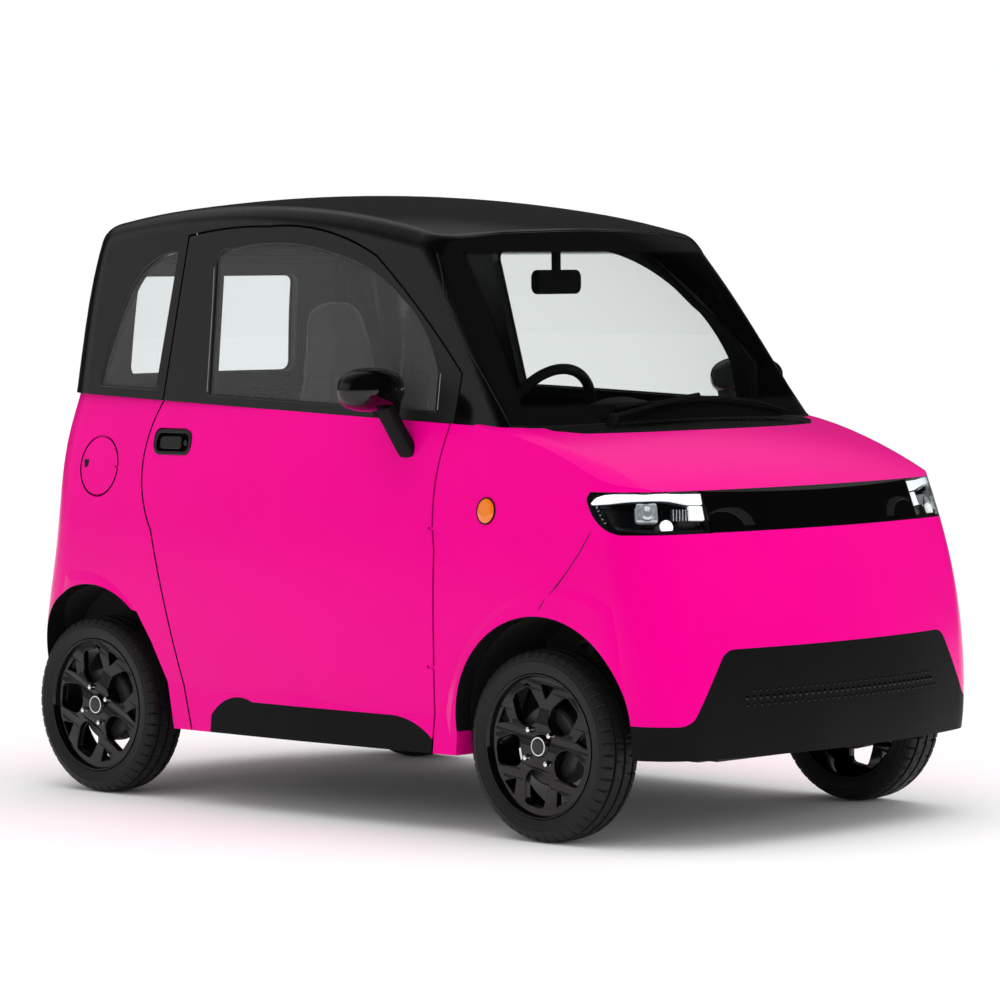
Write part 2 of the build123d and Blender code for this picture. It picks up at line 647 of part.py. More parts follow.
with BuildPart() as rear_axle:
    rod((0, REAR_AXLE, WHEEL_R), 32, 2 * (WHEEL_X - 40), axis="x")
    rod((0, REAR_AXLE, WHEEL_R), STUB_R, 2 * (WHEEL_X + DISC_X), axis="x")
    rod((60, REAR_AXLE, WHEEL_R), MOTOR_R, 260, axis="x")
    for x in (-360, 360):
        block(x - 20, x + 20, REAR_AXLE - 150, REAR_AXLE + 20, WHEEL_R - 20, REAR_FLOOR_Z)

SPOKES, CAP_R = 5, 31.0
# radius and angle, in degrees from the middle of each opening: between spokes, and inside each fork
OPENING = ((62, -19), (100, -27.5), (163, -12), (163, 12), (100, 27.5), (62, 19))
FORK = ((118, 0), (164, 9.5), (164, -9.5))


def polar(rows, turn):
    return [(r * cos(radians(turn + a)), r * sin(radians(turn + a))) for r, a in rows]


with BuildPart() as rim:
    with Locations((-WHEEL_X, 0, 0)):
        Cylinder(RIM_R - SEAT_GAP, TYRE_W - 24, rotation=(0, 90, 0))
        Cylinder(RIM_R - SEAT_GAP - RIM_WALL, TYRE_W, rotation=(0, 90, 0), mode=Mode.SUBTRACT)
    with BuildSketch(Plane.YZ.offset(-WHEEL_X - DISC_X - DISC_T)) as face:
        Circle(RIM_R - 4)
        for number in range(SPOKES):
            turn = 90 + number * 360 / SPOKES
            for rows, shift, soft in ((OPENING, 180 / SPOKES, 12), (FORK, 0, 5)):
                with BuildSketch(mode=Mode.PRIVATE) as hole:
                    Polygon(*polar(rows, turn + shift), align=None)
                    fillet(hole.vertices(), soft)
                add(hole.sketch, mode=Mode.SUBTRACT)
    extrude(face.sketch, amount=DISC_T)
    rod((-WHEEL_X, 0, 0), HUB_R - 6, 2 * DISC_X, axis="x")
    rod((-WHEEL_X - DISC_X - DISC_T, 0, 0), CAP_R, 10, axis="x")
    rod((-WHEEL_X + 20, 0, 0), STUB_R + SEAT_GAP, 2 * DISC_X + 40, Mode.SUBTRACT, axis="x")

with BuildPart() as tyre:
    with BuildSketch(Plane.XY) as section:
        with BuildLine():
            Polyline(
                (-WHEEL_X - 53, RIM_R), (-WHEEL_X - 65, RIM_R + 22), (-WHEEL_X - 60, WHEEL_R - 14),
                (-WHEEL_X - 47, WHEEL_R - 1.5), (-WHEEL_X, WHEEL_R), (-WHEEL_X + 47, WHEEL_R - 1.5),
                (-WHEEL_X + 60, WHEEL_R - 14), (-WHEEL_X + 65, RIM_R + 22), (-WHEEL_X + 53, RIM_R), close=True,
            )
        make_face()
    revolve(section.sketch, axis=Axis.X)

# ---- interior --------------------------------------------------------------------------------------------
STEER_X, STEER_Y, STEER_Z, STEER_R, STEER_TILT = 260.0, 38.0, 1018.0, 178.0, 25.0
HUB_BACK, COLUMN_L = 28.0, 370.0
with BuildPart() as dashboard:
    side_region(DASH, -550, 550)
    add(above_hood(HOOD_SKIN + SEAT_GAP), mode=Mode.SUBTRACT)
    block(STEER_X - 130, STEER_X + 130, -252, -120, 960, 1075)
    with Locations(Location((STEER_X, STEER_Y, STEER_Z), (90 + STEER_TILT, 0, 0))):
        with Locations((0, 0, HUB_BACK + SEAT_GAP + COLUMN_L / 2)):
            Cylinder(26, COLUMN_L)

with BuildPart() as steering_wheel:
    with Locations(Location((STEER_X, STEER_Y, STEER_Z), (90 + STEER_TILT, 0, 0))):
        Torus(STEER_R, 15)
        with Locations((0, 0, HUB_BACK - 18)):
            Cylinder(48, 36)
        Box(2 * STEER_R - 10, 26, 16)
        with Locations((0, -STEER_R / 2, 0)):
            Box(30, STEER_R - 10, 16)

SEAT_W = 440.0
SEAT_SIDE = (
    (150, 385), (-120, 392), (-140, 470), (-110, 510), (160, 478), (235, 600), (300, 1080), (285, 1180),
    (285, 1370), (315, 1392), (375, 1375), (385, 1180), (400, 1060), (330, 560), (270, 400),
)
# name, place across, shift along
SEATS = (("seat_right", -260, 0), ("seat_left", 260, 150))
MIRROR_PLACE, MIRROR_SIZE = (-742.0, -299.0, 1150.0), (226.0, 130.0, 114.0)
MIRROR_FOOT, MIRROR_LEAN = (-636.0, -336.0, 975.0), (-50.0, 11.0, 83.0)   # foot on the door, way the arm goes
with BuildPart() as mirror_arm:
    with Locations(Location(MIRROR_PLACE, (0, 0, 12))):
        Box(*MIRROR_SIZE)
        fillet(mirror_arm.edges(), MIRROR_SIZE[2] / 2 - 3)
    with BuildSketch(Plane(MIRROR_FOOT, x_dir=(0, 83, -11), z_dir=MIRROR_LEAN)) as foot:
        RectangleRounded(56, 28, 12)
    extrude(foot.sketch, amount=155)
    add(lower_volume(0), mode=Mode.SUBTRACT)
    add(upper_solid.part, mode=Mode.SUBTRACT)

CABIN_MIRROR_Y, CABIN_MIRROR_Z = -262.0, 1424.0
with BuildPart() as cabin_mirror:
    with Locations((0, CABIN_MIRROR_Y, CABIN_MIRROR_Z)):
        Box(170, 26, 66)
    fillet(cabin_mirror.edges().filter_by(Axis.Y), 22)
    block(-8, 8, CABIN_MIRROR_Y - 10, CABIN_MIRROR_Y + 10, CABIN_MIRROR_Z, WINDSCREEN_TOP - 2 * SEAT_GAP)

for made, name in (
    (front_body_hinged, "front_body"), (cowl, "cowl"), (front_bumper, "front_bumper"), (lower_bumper, "lower_bumper"),
    (nose_band, "nose_band"), (rear_bumper, "rear_bumper"), (tailgate_hinged, "tailgate"),
    (tailgate_glass, "tailgate_glass"), (roof_hinged, "roof"), (windscreen, "windscreen"),
    (chassis, "chassis"), (battery, "battery"), (rear_axle, "rear_axle"), (dashboard, "dashboard"),
    (steering_wheel, "steering_wheel"), (cabin_mirror, "cabin_mirror"),
):
    keep(made.part, name)
with BuildPart() as flap_only:
    add(flap.part)
    block(-FAR, 0, -1500, 1500, 0, HIGH, Mode.INTERSECT)
    rod((FLAP_SKIN, FLAP_HINGE_Y, FLAP_Z), 12, 4 + 2 * SEAT_GAP, Mode.SUBTRACT)
with BuildPart() as quarter_right:
    add(quarter_flap.part)
    add(flap_tongue.part)
keep(flap_only.part, "charge_flap")
keep(quarter_right.part, "quarter_right")
keep(sided(quarter.part, True), "quarter_left")
for side, flip in SIDES:
    for made, name in (
        (headlight, "headlight"), (tail_lamp, "tail_lamp"), (quarter_glass, "quarter_glass"),
        (door_glass, "door_glass"), (door_hinged, "door"), (door_trim, "door_trim"), (mirror_arm, "door_mirror"),
        (knuckle, "knuckle"),
    ):
        keep(sided(made.part, flip), f"{name}_{side}")
    for end, y in (("front", FRONT_AXLE), ("rear", REAR_AXLE)):
        keep(sided(rim.part.moved(Location((0, y, WHEEL_R))), flip), f"rim_{end}_{side}")
        keep(sided(tyre.part.moved(Location((0, y, WHEEL_R))), flip), f"tyre_{end}_{side}")
for name, x, y in SEATS:
    with BuildPart() as seat:
        side_region(SEAT_SIDE, x - SEAT_W / 2, x + SEAT_W / 2)
        for edge in (-1, 1):
            side = x + edge * (SEAT_W / 2 + 60)
            block(side - 200, side + 200, 200, 480, 1150, 1500, Mode.SUBTRACT)
        block(x - 150, x + 150, -90, 250, FLOOR_Z + FLOOR_T + 150, 395)
    keep(seat.part.moved(Location((0, y, 0))), name)
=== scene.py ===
import json
import math

import bmesh
import bpy
import numpy as np
from mathutils import Matrix, Vector
from mathutils.bvhtree import BVHTree


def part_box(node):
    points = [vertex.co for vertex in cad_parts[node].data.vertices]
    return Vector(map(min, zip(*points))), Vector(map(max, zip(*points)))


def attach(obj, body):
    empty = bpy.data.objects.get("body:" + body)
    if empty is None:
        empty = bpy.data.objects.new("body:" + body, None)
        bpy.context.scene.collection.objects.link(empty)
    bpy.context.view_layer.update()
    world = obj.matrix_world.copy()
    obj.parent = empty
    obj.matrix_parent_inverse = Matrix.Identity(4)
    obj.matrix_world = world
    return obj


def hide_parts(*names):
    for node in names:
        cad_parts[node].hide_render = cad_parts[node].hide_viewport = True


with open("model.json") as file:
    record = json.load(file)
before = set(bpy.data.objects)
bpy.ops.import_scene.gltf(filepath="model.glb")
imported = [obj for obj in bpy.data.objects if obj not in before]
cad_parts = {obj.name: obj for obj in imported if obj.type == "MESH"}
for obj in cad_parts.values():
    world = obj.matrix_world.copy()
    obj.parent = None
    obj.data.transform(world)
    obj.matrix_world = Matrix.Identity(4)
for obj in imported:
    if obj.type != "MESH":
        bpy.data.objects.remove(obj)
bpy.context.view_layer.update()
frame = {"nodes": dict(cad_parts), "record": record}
nodes = frame["nodes"]

# Places repeated from the part's source, in metres.
FRONT_AXLE, REAR_AXLE = -0.820, 0.900
WHEEL_R, WHEEL_X = 0.247, 0.606
BELT_Y, BELT_Z, BELT_SLOPE = -0.732, 1.051, 0.03855
ARCHES = ((FRONT_AXLE, 0.293, 0.2862), (REAR_AXLE, 0.299, 0.2882))  # y, z and radius of the painted rims
LEDGE_Y, LEDGE_Z = -0.55, 0.95
LAMP_Y, LAMP_Z = -0.955, (0.7925, 0.8985)
STEER = (0.260, 0.038, 1.018)
SEATS = {"seat_right": (-0.260, 0.0), "seat_left": (0.260, 0.150)}
SIDES = (("right", -1), ("left", 1))


# ---- materials -----------------------------------------------------------------------------------
def group(name, inputs, outputs):
    """A shader node group with the named sockets; returns it with its input and output nodes."""
    made = bpy.data.node_groups.new(name, "ShaderNodeTree")
    for label, kind, value in inputs:
        socket = made.interface.new_socket(name=label, in_out="INPUT", socket_type=kind)
        socket.default_value = value
    for label, kind in outputs:
        made.interface.new_socket(name=label, in_out="OUTPUT", socket_type=kind)
    return made, made.nodes.new("NodeGroupInput"), made.nodes.new("NodeGroupOutput")

def calculator(tree):
    """A function that adds a Math node to a tree, fed by numbers or sockets, and returns its output."""
    def calc(operation, *values):
        """The output of one operation on numbers or sockets."""
        node = tree.nodes.new("ShaderNodeMath")
        node.operation = operation
        for socket, value in zip(node.inputs, values):
            if isinstance(value, float):
                socket.default_value = value
            else:
                tree.links.new(value, socket)
        return node.outputs[0]
    return calc


def parts_of(tree, vector):
    """The X, Y and Z outputs of a vector socket."""
    node = tree.nodes.new("ShaderNodeSeparateXYZ")
    tree.links.new(vector, node.inputs[0])
    return node.outputs[:]


def speckle_group():
    """Fine moulded texture: a bump normal and a slightly uneven roughness."""
    made, start, end = group(
        "moulded_surface",
        [("Scale", "NodeSocketFloat", 400.0), ("Strength", "NodeSocketFloat", 0.2),
         ("Rough", "NodeSocketFloat", 0.5), ("Spread", "NodeSocketFloat", 0.08)],
        [("Normal", "NodeSocketVector"), ("Roughness", "NodeSocketFloat")],
    )
    n, link = made.nodes, made.links.new
    place = n.new("ShaderNodeTexCoord")
    fine, broad = n.new("ShaderNodeTexNoise"), n.new("ShaderNodeTexNoise")
    fine.inputs["Detail"].default_value = 3
    broad.inputs["Scale"].default_value = 3.0
    bump, shift = n.new("ShaderNodeBump"), n.new("ShaderNodeMath")
    shift.operation = "MULTIPLY_ADD"
    link(place.outputs["Object"], fine.inputs["Vector"])
    link(place.outputs["Object"], broad.inputs["Vector"])
    link(start.outputs["Scale"], fine.inputs["Scale"])
    link(fine.outputs["Fac"], bump.inputs["Height"])
    link(start.outputs["Strength"], bump.inputs["Strength"])
    bump.inputs["Distance"].default_value = 0.0006
    link(broad.outputs["Fac"], shift.inputs[0])
    link(start.outputs["Spread"], shift.inputs[1])
    link(start.outputs["Rough"], shift.inputs[2])
    link(bump.outputs["Normal"], end.inputs["Normal"])
    link(shift.outputs[0], end.inputs["Roughness"])
    return made


def belt_group():
    """1 above the line where painted body meets the dark frame, 0 below it."""
    made, _, end = group("above_belt", [], [("Mask", "NodeSocketFloat")])
    calc = calculator(made)
    _, y, z = parts_of(made, made.nodes.new("ShaderNodeTexCoord").outputs["Object"])
    line = calc("MULTIPLY_ADD", y, BELT_SLOPE, BELT_Z - BELT_SLOPE * BELT_Y)
    made.links.new(calc("GREATER_THAN", z, line), end.inputs["Mask"])
    return made


def hidden_group():
    """1 on faces that look into the cabin and round the wheel arches, 0 on the outside of the body."""
    made, _, end = group("hidden_faces", [], [("Mask", "NodeSocketFloat")])
    calc = calculator(made)
    place = made.nodes.new("ShaderNodeTexCoord")
    x, y, z = parts_of(made, place.outputs["Object"])
    way_x, way_y, way_z = parts_of(made, place.outputs["Normal"])
    across = calc("MULTIPLY", way_x, x)
    along = calc("MULTIPLY", calc("MULTIPLY", way_y, y), 0.35)
    rise = calc("MULTIPLY", calc("MULTIPLY", way_z, calc("SUBTRACT", z, 0.7)), 0.5)
    mask = calc("LESS_THAN", calc("ADD", calc("ADD", across, along), rise), -0.03)
    for arch_y, arch_z, radius in ARCHES:
        dy, dz = calc("SUBTRACT", y, arch_y), calc("SUBTRACT", z, arch_z)
        reach = calc("SQRT", calc("ADD", calc("MULTIPLY", dy, dy), calc("MULTIPLY", dz, dz)))
        mask = calc("MAXIMUM", mask, calc("LESS_THAN", reach, radius))
    # ledges under the windows
    flat = calc("GREATER_THAN", calc("ABSOLUTE", way_z), 0.7)
    cabin = calc("MULTIPLY", calc("GREATER_THAN", z, LEDGE_Z), calc("GREATER_THAN", y, LEDGE_Y))
    ledge = calc("MULTIPLY", flat, cabin)
    # walls of the lamp openings
    level = calc("MULTIPLY", calc("GREATER_THAN", z, LAMP_Z[0]), calc("LESS_THAN", z, LAMP_Z[1]))
    edgeways = calc("LESS_THAN", calc("ABSOLUTE", way_x), 0.45)
    lamp = calc("MULTIPLY", level, calc("MULTIPLY", calc("LESS_THAN", y, LAMP_Y), edgeways))
    made.links.new(calc("MAXIMUM", mask, calc("MAXIMUM", ledge, lamp)), end.inputs["Mask"])
    return made


MOULDED, ABOVE_BELT, HIDDEN = speckle_group(), belt_group(), hidden_group()


def moulded(tree, shader, scale, strength, rough, spread):
    """Feeds a shader's roughness from the moulded texture, and its normal where that has any strength."""
    surface = tree.nodes.new("ShaderNodeGroup")
    surface.node_tree = MOULDED
    for label, value in (("Scale", scale), ("Strength", strength), ("Rough", rough), ("Spread", spread)):
        surface.inputs[label].default_value = value
    tree.links.new(surface.outputs["Roughness"], shader.inputs["Roughness"])
    if strength:
        tree.links.new(surface.outputs["Normal"], shader.inputs["Normal"])


def stops(ramp, *pairs):
    """Sets a colour ramp's places and colours; the first pair and the last one are its two ends."""
    elements = ramp.color_ramp.elements
    for element, (spot, colour) in zip(elements, (pairs[0], pairs[-1])):
        element.position, element.color = spot, (*colour, 1)
    for spot, colour in pairs[1:-1]:
        elements.new(spot).color = (*colour, 1)


def material(name, colour, rough=0.4, metal=0.0, coat=0.0, coat_rough=0.03, scale=400.0, bump=0.0,
             spread=0.06, sheen=0.0, tint=0.06, specular=0.5, glint=None):
    """A procedural material: base colour with a slight drift, moulded texture and an optional clear coat."""
    made = bpy.data.materials.new(name)
    made.use_nodes = True
    n, link = made.node_tree.nodes, made.node_tree.links.new
    shader = n["Principled BSDF"]
    shader.inputs["Metallic"].default_value = metal
    shader.inputs["Coat Weight"].default_value = coat
    shader.inputs["Coat Roughness"].default_value = coat_rough
    shader.inputs["Sheen Weight"].default_value = sheen
    shader.inputs["Specular IOR Level"].default_value = specular
    if glint:
        shader.inputs["Specular Tint"].default_value = (*glint, 1)
    place, drift, ramp = n.new("ShaderNodeTexCoord"), n.new("ShaderNodeTexNoise"), n.new("ShaderNodeValToRGB")
    drift.inputs["Scale"].default_value = 5.0
    link(place.outputs["Object"], drift.inputs["Vector"])
    link(drift.outputs["Fac"], ramp.inputs["Fac"])
    low = tuple(c * (1 - tint) for c in colour)
    high = tuple(min(1.0, c * (1 + tint)) for c in colour)
    stops(ramp, (0.35, low), (0.65, high))
    link(ramp.outputs["Color"], shader.inputs["Base Color"])
    moulded(made.node_tree, shader, scale, bump, rough - spread / 2, spread)
    return made


def split_at_belt(name, below, above):
    """One material for panels that are painted below the belt line and dark above it."""
    made = below.copy()
    made.name = name
    n, link = made.node_tree.nodes, made.node_tree.links.new
    out, mix, mask = n["Material Output"], n.new("ShaderNodeMixShader"), n.new("ShaderNodeGroup")
    mask.node_tree = ABOVE_BELT
    dark = n.new("ShaderNodeBsdfPrincipled")
    source = above.node_tree.nodes["Principled BSDF"]
    for label in ("Coat Weight", "Coat Roughness", "Metallic", "Specular IOR Level"):
        dark.inputs[label].default_value = source.inputs[label].default_value
    ramp = next(v for v in above.node_tree.nodes if v.type == "VALTORGB").color_ramp
    dark.inputs["Base Color"].default_value = ramp.elements[0].color
    moulded(made.node_tree, dark, 700.0, 0.12, 0.36, 0.08)
    link(mask.outputs["Mask"], mix.inputs["Fac"])
    link(n["Principled BSDF"].outputs[0], mix.inputs[1])
    link(dark.outputs[0], mix.inputs[2])
    link(mix.outputs[0], out.inputs["Surface"])
    return made


def glass(name, colour, rough=0.0, border=None, veil=(0.004, 0.03)):
    """Clear glass that lets light through without bending it much; border gives a black printed edge."""
    made = bpy.data.materials.new(name)
    made.use_nodes = True
    n, link = made.node_tree.nodes, made.node_tree.links.new
    shader, out = n["Principled BSDF"], n["Material Output"]
    shader.inputs["Base Color"].default_value = (veil[0], veil[0], veil[0], 1)
    shader.inputs["Roughness"].default_value = rough
    shader.inputs["Specular IOR Level"].default_value = 0.35
    through, mix = n.new("ShaderNodeBsdfTransparent"), n.new("ShaderNodeMixShader")
    through.inputs["Color"].default_value = (*colour, 1)
    rim, steep, level = n.new("ShaderNodeLayerWeight"), n.new("ShaderNodeMath"), n.new("ShaderNodeMapRange")
    rim.inputs["Blend"].default_value = 0.5
    steep.operation = "POWER"
    steep.inputs[1].default_value = 4.0
    level.inputs["To Min"].default_value, level.inputs["To Max"].default_value = veil[1], 0.9
    link(rim.outputs["Facing"], steep.inputs[0])
    link(steep.outputs[0], level.inputs["Value"])
    link(through.outputs[0], mix.inputs[1])
    link(shader.outputs[0], mix.inputs[2])
    if border:
        low, high, half_low, half_high, soft = border
        calc = calculator(made.node_tree)
        x, _, z = parts_of(made.node_tree, n.new("ShaderNodeTexCoord").outputs["Object"])
        slope = (half_high - half_low) / (high - low)
        allowed = calc("ADD", calc("MULTIPLY", z, slope), half_low - slope * low)
        outside = calc("MAXIMUM", calc("SUBTRACT", calc("ABSOLUTE", x), allowed), calc("SUBTRACT", z, high))
        outside = calc("MAXIMUM", outside, calc("SUBTRACT", low, z))
        edge = n.new("ShaderNodeMapRange")
        edge.inputs["From Min"].default_value, edge.inputs["From Max"].default_value = -soft, 0.0
        link(outside, edge.inputs["Value"])
        link(calc("MAXIMUM", edge.outputs[0], level.outputs[0]), mix.inputs["Fac"])
    else:
        link(level.outputs[0], mix.inputs["Fac"])
    link(mix.outputs[0], out.inputs["Surface"])
    return made


def glowing(name, colour, strength):
    """A material that gives off a little light of its own colour."""
    made = material(name, colour, 0.3)
    shader = made.node_tree.nodes["Principled BSDF"]
    shader.inputs["Emission Color"].default_value = (*colour, 1)
    shader.inputs["Emission Strength"].default_value = strength
    return made


PAINT = material("paint_magenta", (0.90, 0.0, 0.275), 0.22, tint=0.012, spread=0.03, specular=0.22,
                 glint=(1, 0.1, 0.6))
GLOSS_BLACK = material("gloss_black", (0.0015, 0.0015, 0.0018), 0.10, tint=0.1, spread=0.04, specular=0.45)
TRIM = material("black_trim", (0.0050, 0.0050, 0.0054), 0.5, scale=900, bump=0.3, spread=0.1, tint=0.12,
                specular=0.09)
FRAME = material("frame_black", (0.010, 0.010, 0.011), 0.36, scale=700, bump=0.12, spread=0.08, specular=0.35)
SIDE_GLASS = glass("side_glass", (0.97, 0.98, 0.98), veil=(0.50, 0.05))
SCREEN_GLASS = glass("windscreen_glass", (0.95, 0.965, 0.96), border=(1.100, 1.508, 0.545, 0.468, 0.012))
REAR_GLASS = glass("rear_glass", (0.95, 0.965, 0.965))
CLEAR = glass("lamp_lens", (0.96, 0.97, 0.97))
STEEL = material("dark_steel", (0.02, 0.02, 0.021), 0.5, metal=0.3, bump=0.2, scale=200)
ALLOY = material("cast_alloy", (0.35, 0.35, 0.36), 0.45, metal=1.0, bump=0.2, scale=300)
CHROME = material("chrome", (0.85, 0.86, 0.88), 0.08, metal=1.0, spread=0.03, tint=0.02)
CABIN = material("cabin_plastic", (0.012, 0.012, 0.013), 0.5, scale=600, bump=0.4)
FABRIC = material("seat_fabric", (0.042, 0.042, 0.045), 0.8, sheen=0.3, scale=1200, bump=0.5)
PIPING = material("seat_bolster", (0.02, 0.02, 0.022), 0.6, sheen=0.15, scale=900, bump=0.4)
RED = material("red_lens", (0.30, 0.002, 0.006), 0.10, coat=0.6)
AMBER = material("amber_lens", (0.85, 0.20, 0.004), 0.15, coat=0.6)
RIM = material("black_alloy", (0.0015, 0.0015, 0.0018), 0.10, spread=0.04, specular=0.38)
RUBBER = material("tyre_rubber", (0.0095, 0.0095, 0.010), 0.5, scale=900, bump=0.25, specular=0.25)
DRUM = material("brake_drum", (0.05, 0.05, 0.052), 0.45, metal=0.6, scale=150, bump=0.3)
WHITE_LIGHT = glowing("daylight_strip", (0.9, 0.95, 1.0), 0.7)
SPOT_LIGHT = glowing("lamp_bulb", (1.0, 1.0, 1.0), 0.6)
SILVER = material("lamp_reflector", (0.55, 0.57, 0.59), 0.2, metal=1.0, scale=40, bump=0.5)
PALE = material("pale_ring", (0.75, 0.75, 0.76), 0.35)
LINER = material("wheel_liner", (0.006, 0.006, 0.006), 0.85, scale=120, bump=0.6)

INNER_FACE = (0.010, 0.010, 0.011)


def with_inner_faces(paint, colour):
    """Gives a painted panel's inner faces their own unpainted colour."""
    nodes_in, link = paint.node_tree.nodes, paint.node_tree.links.new
    inner, mask = nodes_in.new("ShaderNodeMix"), nodes_in.new("ShaderNodeGroup")
    mask.node_tree = HIDDEN
    inner.data_type = "RGBA"
    painted, unpainted = (v for v in inner.inputs if v.type == "RGBA")
    link(mask.outputs["Mask"], inner.inputs[0])
    link(next(v for v in nodes_in if v.type == "VALTORGB").outputs["Color"], painted)
    unpainted.default_value = (*colour, 1)
    mixed = next(v for v in inner.outputs if v.type == "RGBA")
    link(mixed, nodes_in["Principled BSDF"].inputs["Base Color"])


with_inner_faces(PAINT, INNER_FACE)
PAINT_AND_FRAME = split_at_belt("paint_and_frame", PAINT, FRAME)

BY_SLOT = {
    "paint": PAINT, "black_trim": TRIM, "gloss_black": GLOSS_BLACK, "glass": SIDE_GLASS, "steel": STEEL,
    "alloy": ALLOY, "cabin_plastic": CABIN, "upholstery": FABRIC, "lamp_cover": GLOSS_BLACK, "red_lens": RED,
    "black_alloy": RIM, "tyre": RUBBER,
}
BY_NODE = {
    "door_right": PAINT_AND_FRAME, "door_left": PAINT_AND_FRAME, "tailgate": PAINT_AND_FRAME,
    "windscreen": SCREEN_GLASS, "tailgate_glass": REAR_GLASS,
}
SLOT_OF = {s["node"]: s["material_slot"] for s in frame["record"]["subparts"]}
for name, obj in nodes.items():
    obj.data.materials.clear()
    obj.data.materials.append(BY_NODE.get(name, BY_SLOT[SLOT_OF[name]]))


# ---- mesh helpers --------------------------------------------------------------------------------
def piece(name, mesh, mats, body, slot=None, sharp=35.0):
    """Links a mesh as a named piece that rides on a body."""
    obj = bpy.data.objects.new(name, mesh)
    bpy.context.scene.collection.objects.link(obj)
    for mat in mats if isinstance(mats, (list, tuple)) else [mats]:
        mesh.materials.append(mat)
    mesh.polygons.foreach_set("use_smooth", [True] * len(mesh.polygons))
    if sharp:
        mesh.set_sharp_from_angle(angle=math.radians(sharp))
    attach(obj, body)
    return obj


def finished(bm, name):
    """The mesh of a bmesh, which is freed."""
    mesh = bpy.data.meshes.new(name)
    bm.to_mesh(mesh)
    bm.free()
    return mesh


def join(name, meshes):
    """One mesh from several, keeping their places."""
    bm = bmesh.new()
    for mesh in meshes:
        bm.from_mesh(mesh)
    return finished(bm, name)


def swept(bm, row, line, angle, steps, merge):
    """Turns a row of vertices and its edges about the X axis."""
    bmesh.ops.spin(bm, geom=row + line, cent=(0, 0, 0), axis=(1, 0, 0), dvec=(0, 0, 0), angle=angle,
                   steps=steps, use_merge=merge)


def lathe(name, profile, count=64, closed=True):
    """Turns (x, radius) points about the X axis."""
    bm = bmesh.new()
    row = [bm.verts.new((x, 0, r)) for x, r in profile]
    line = [bm.edges.new(pair) for pair in zip(row, row[1:] + (row[:1] if closed else []))]
    swept(bm, row, line, 2 * math.pi, count, True)
    bmesh.ops.remove_doubles(bm, verts=bm.verts, dist=1e-6)
    bmesh.ops.recalc_face_normals(bm, faces=bm.faces)
    return finished(bm, name)


def moved(mesh, matrix):
    """The mesh itself at a new place; one that is turned inside out is turned back."""
    mesh.transform(matrix)
    if matrix.determinant() < 0:
        mesh.flip_normals()
    return mesh


def at(x, y, z):
    """A shift."""
    return Matrix.Translation((x, y, z))


def turned(degrees, axis):
    """A turn about the X, Y or Z axis."""
    return Matrix.Rotation(math.radians(degrees), 4, axis)


def rounded_box(name, size, radius, segments=3):
    """A box about the origin with its edges rounded."""
    bm = bmesh.new()
    bmesh.ops.create_cube(bm, size=1.0)
    bmesh.ops.scale(bm, vec=size, verts=bm.verts)
    bmesh.ops.bevel(bm, geom=bm.edges[:], offset=radius, segments=segments, profile=0.5, affect="EDGES")
    return finished(bm, name)


def from_curve(name, curve):
    """The mesh of a curve, which is removed."""
    holder = bpy.data.objects.new(name, curve)
    mesh = bpy.data.meshes.new_from_object(holder)
    bpy.data.objects.remove(holder)
    bpy.data.curves.remove(curve)
    return mesh


def pipe(name, points, radius, smooth=True, rings=3, closed=False):
    """A round bar along points, with capped ends; smooth runs a curve near the points."""
    curve = bpy.data.curves.new(name, "CURVE")
    curve.dimensions, curve.bevel_depth, curve.bevel_resolution = "3D", radius, rings
    curve.use_fill_caps = True
    line = curve.splines.new("NURBS" if smooth else "POLY")
    line.points.add(len(points) - 1)
    for point, place in zip(line.points, points):
        point.co = (*place, 1)
    line.use_cyclic_u = closed
    if smooth:
        line.order_u, line.use_endpoint_u, line.resolution_u = 3, not closed, 6
    return from_curve(name, curve)


def soft_outline(points, radius, step=0.004):
    """A polygon with round corners, as closely spaced (a, b) points."""
    out = []
    count = len(points)
    for i in range(count):
        before, here, after = (Vector(points[(i + k) % count]) for k in (-1, 0, 1))
        a, b = (before - here), (after - here)
        reach = min(radius, a.length * 0.45, b.length * 0.45)
        p, q = here + a.normalized() * reach, here + b.normalized() * reach
        for k in range(7):
            t = k / 6
            out.append(p * (1 - t) ** 2 + here * 2 * t * (1 - t) + q * t * t)
    dense = []
    for i, p in enumerate(out):
        q = out[(i + 1) % len(out)]
        parts = max(1, int((q - p).length / step))
        dense += [p + (q - p) * (k / parts) for k in range(parts)]
    return dense


def plate(name, outlines, half, bevel):
    """A flat plate in the local XY plane from an outer outline and holes, with rounded edges."""
    curve = bpy.data.curves.new(name, "CURVE")
    curve.dimensions, curve.fill_mode = "2D", "BOTH"
    curve.extrude, curve.bevel_depth, curve.bevel_resolution = half - bevel, bevel, 2
    for outline in outlines:
        line = curve.splines.new("POLY")
        line.points.add(len(outline) - 1)
        for point, (a, b) in zip(line.points, outline):
            point.co = (a, b, 0, 1)
        line.use_cyclic_u = True
    return from_curve(name, curve)


def tree_of(*names):
    """A search tree over CAD nodes at rest, for setting pieces on their surfaces."""
    verts, faces = [], []
    for name in names:
        obj = nodes[name]
        base = len(verts)
        verts += [obj.matrix_world @ v.co for v in obj.data.vertices]
        faces += [tuple(base + i for i in p.vertices) for p in obj.data.polygons]
    return BVHTree.FromPolygons(verts, faces)


def facing(normal, out):
    """A normal on the side that out is on."""
    return -normal if normal.dot(out) < 0 else normal


def nearest(tree, point, out):
    """The nearest place on a skin to a point, and its normal on the side of out."""
    spot, normal, _, _ = tree.find_nearest(Vector(point))
    return spot, facing(normal, out)


def from_side(tree, y, z):
    """The place, or None, where a look from the right side at (y, z) meets a skin."""
    return tree.ray_cast(Vector((-3, y, z)), Vector((1, 0, 0)))[0]


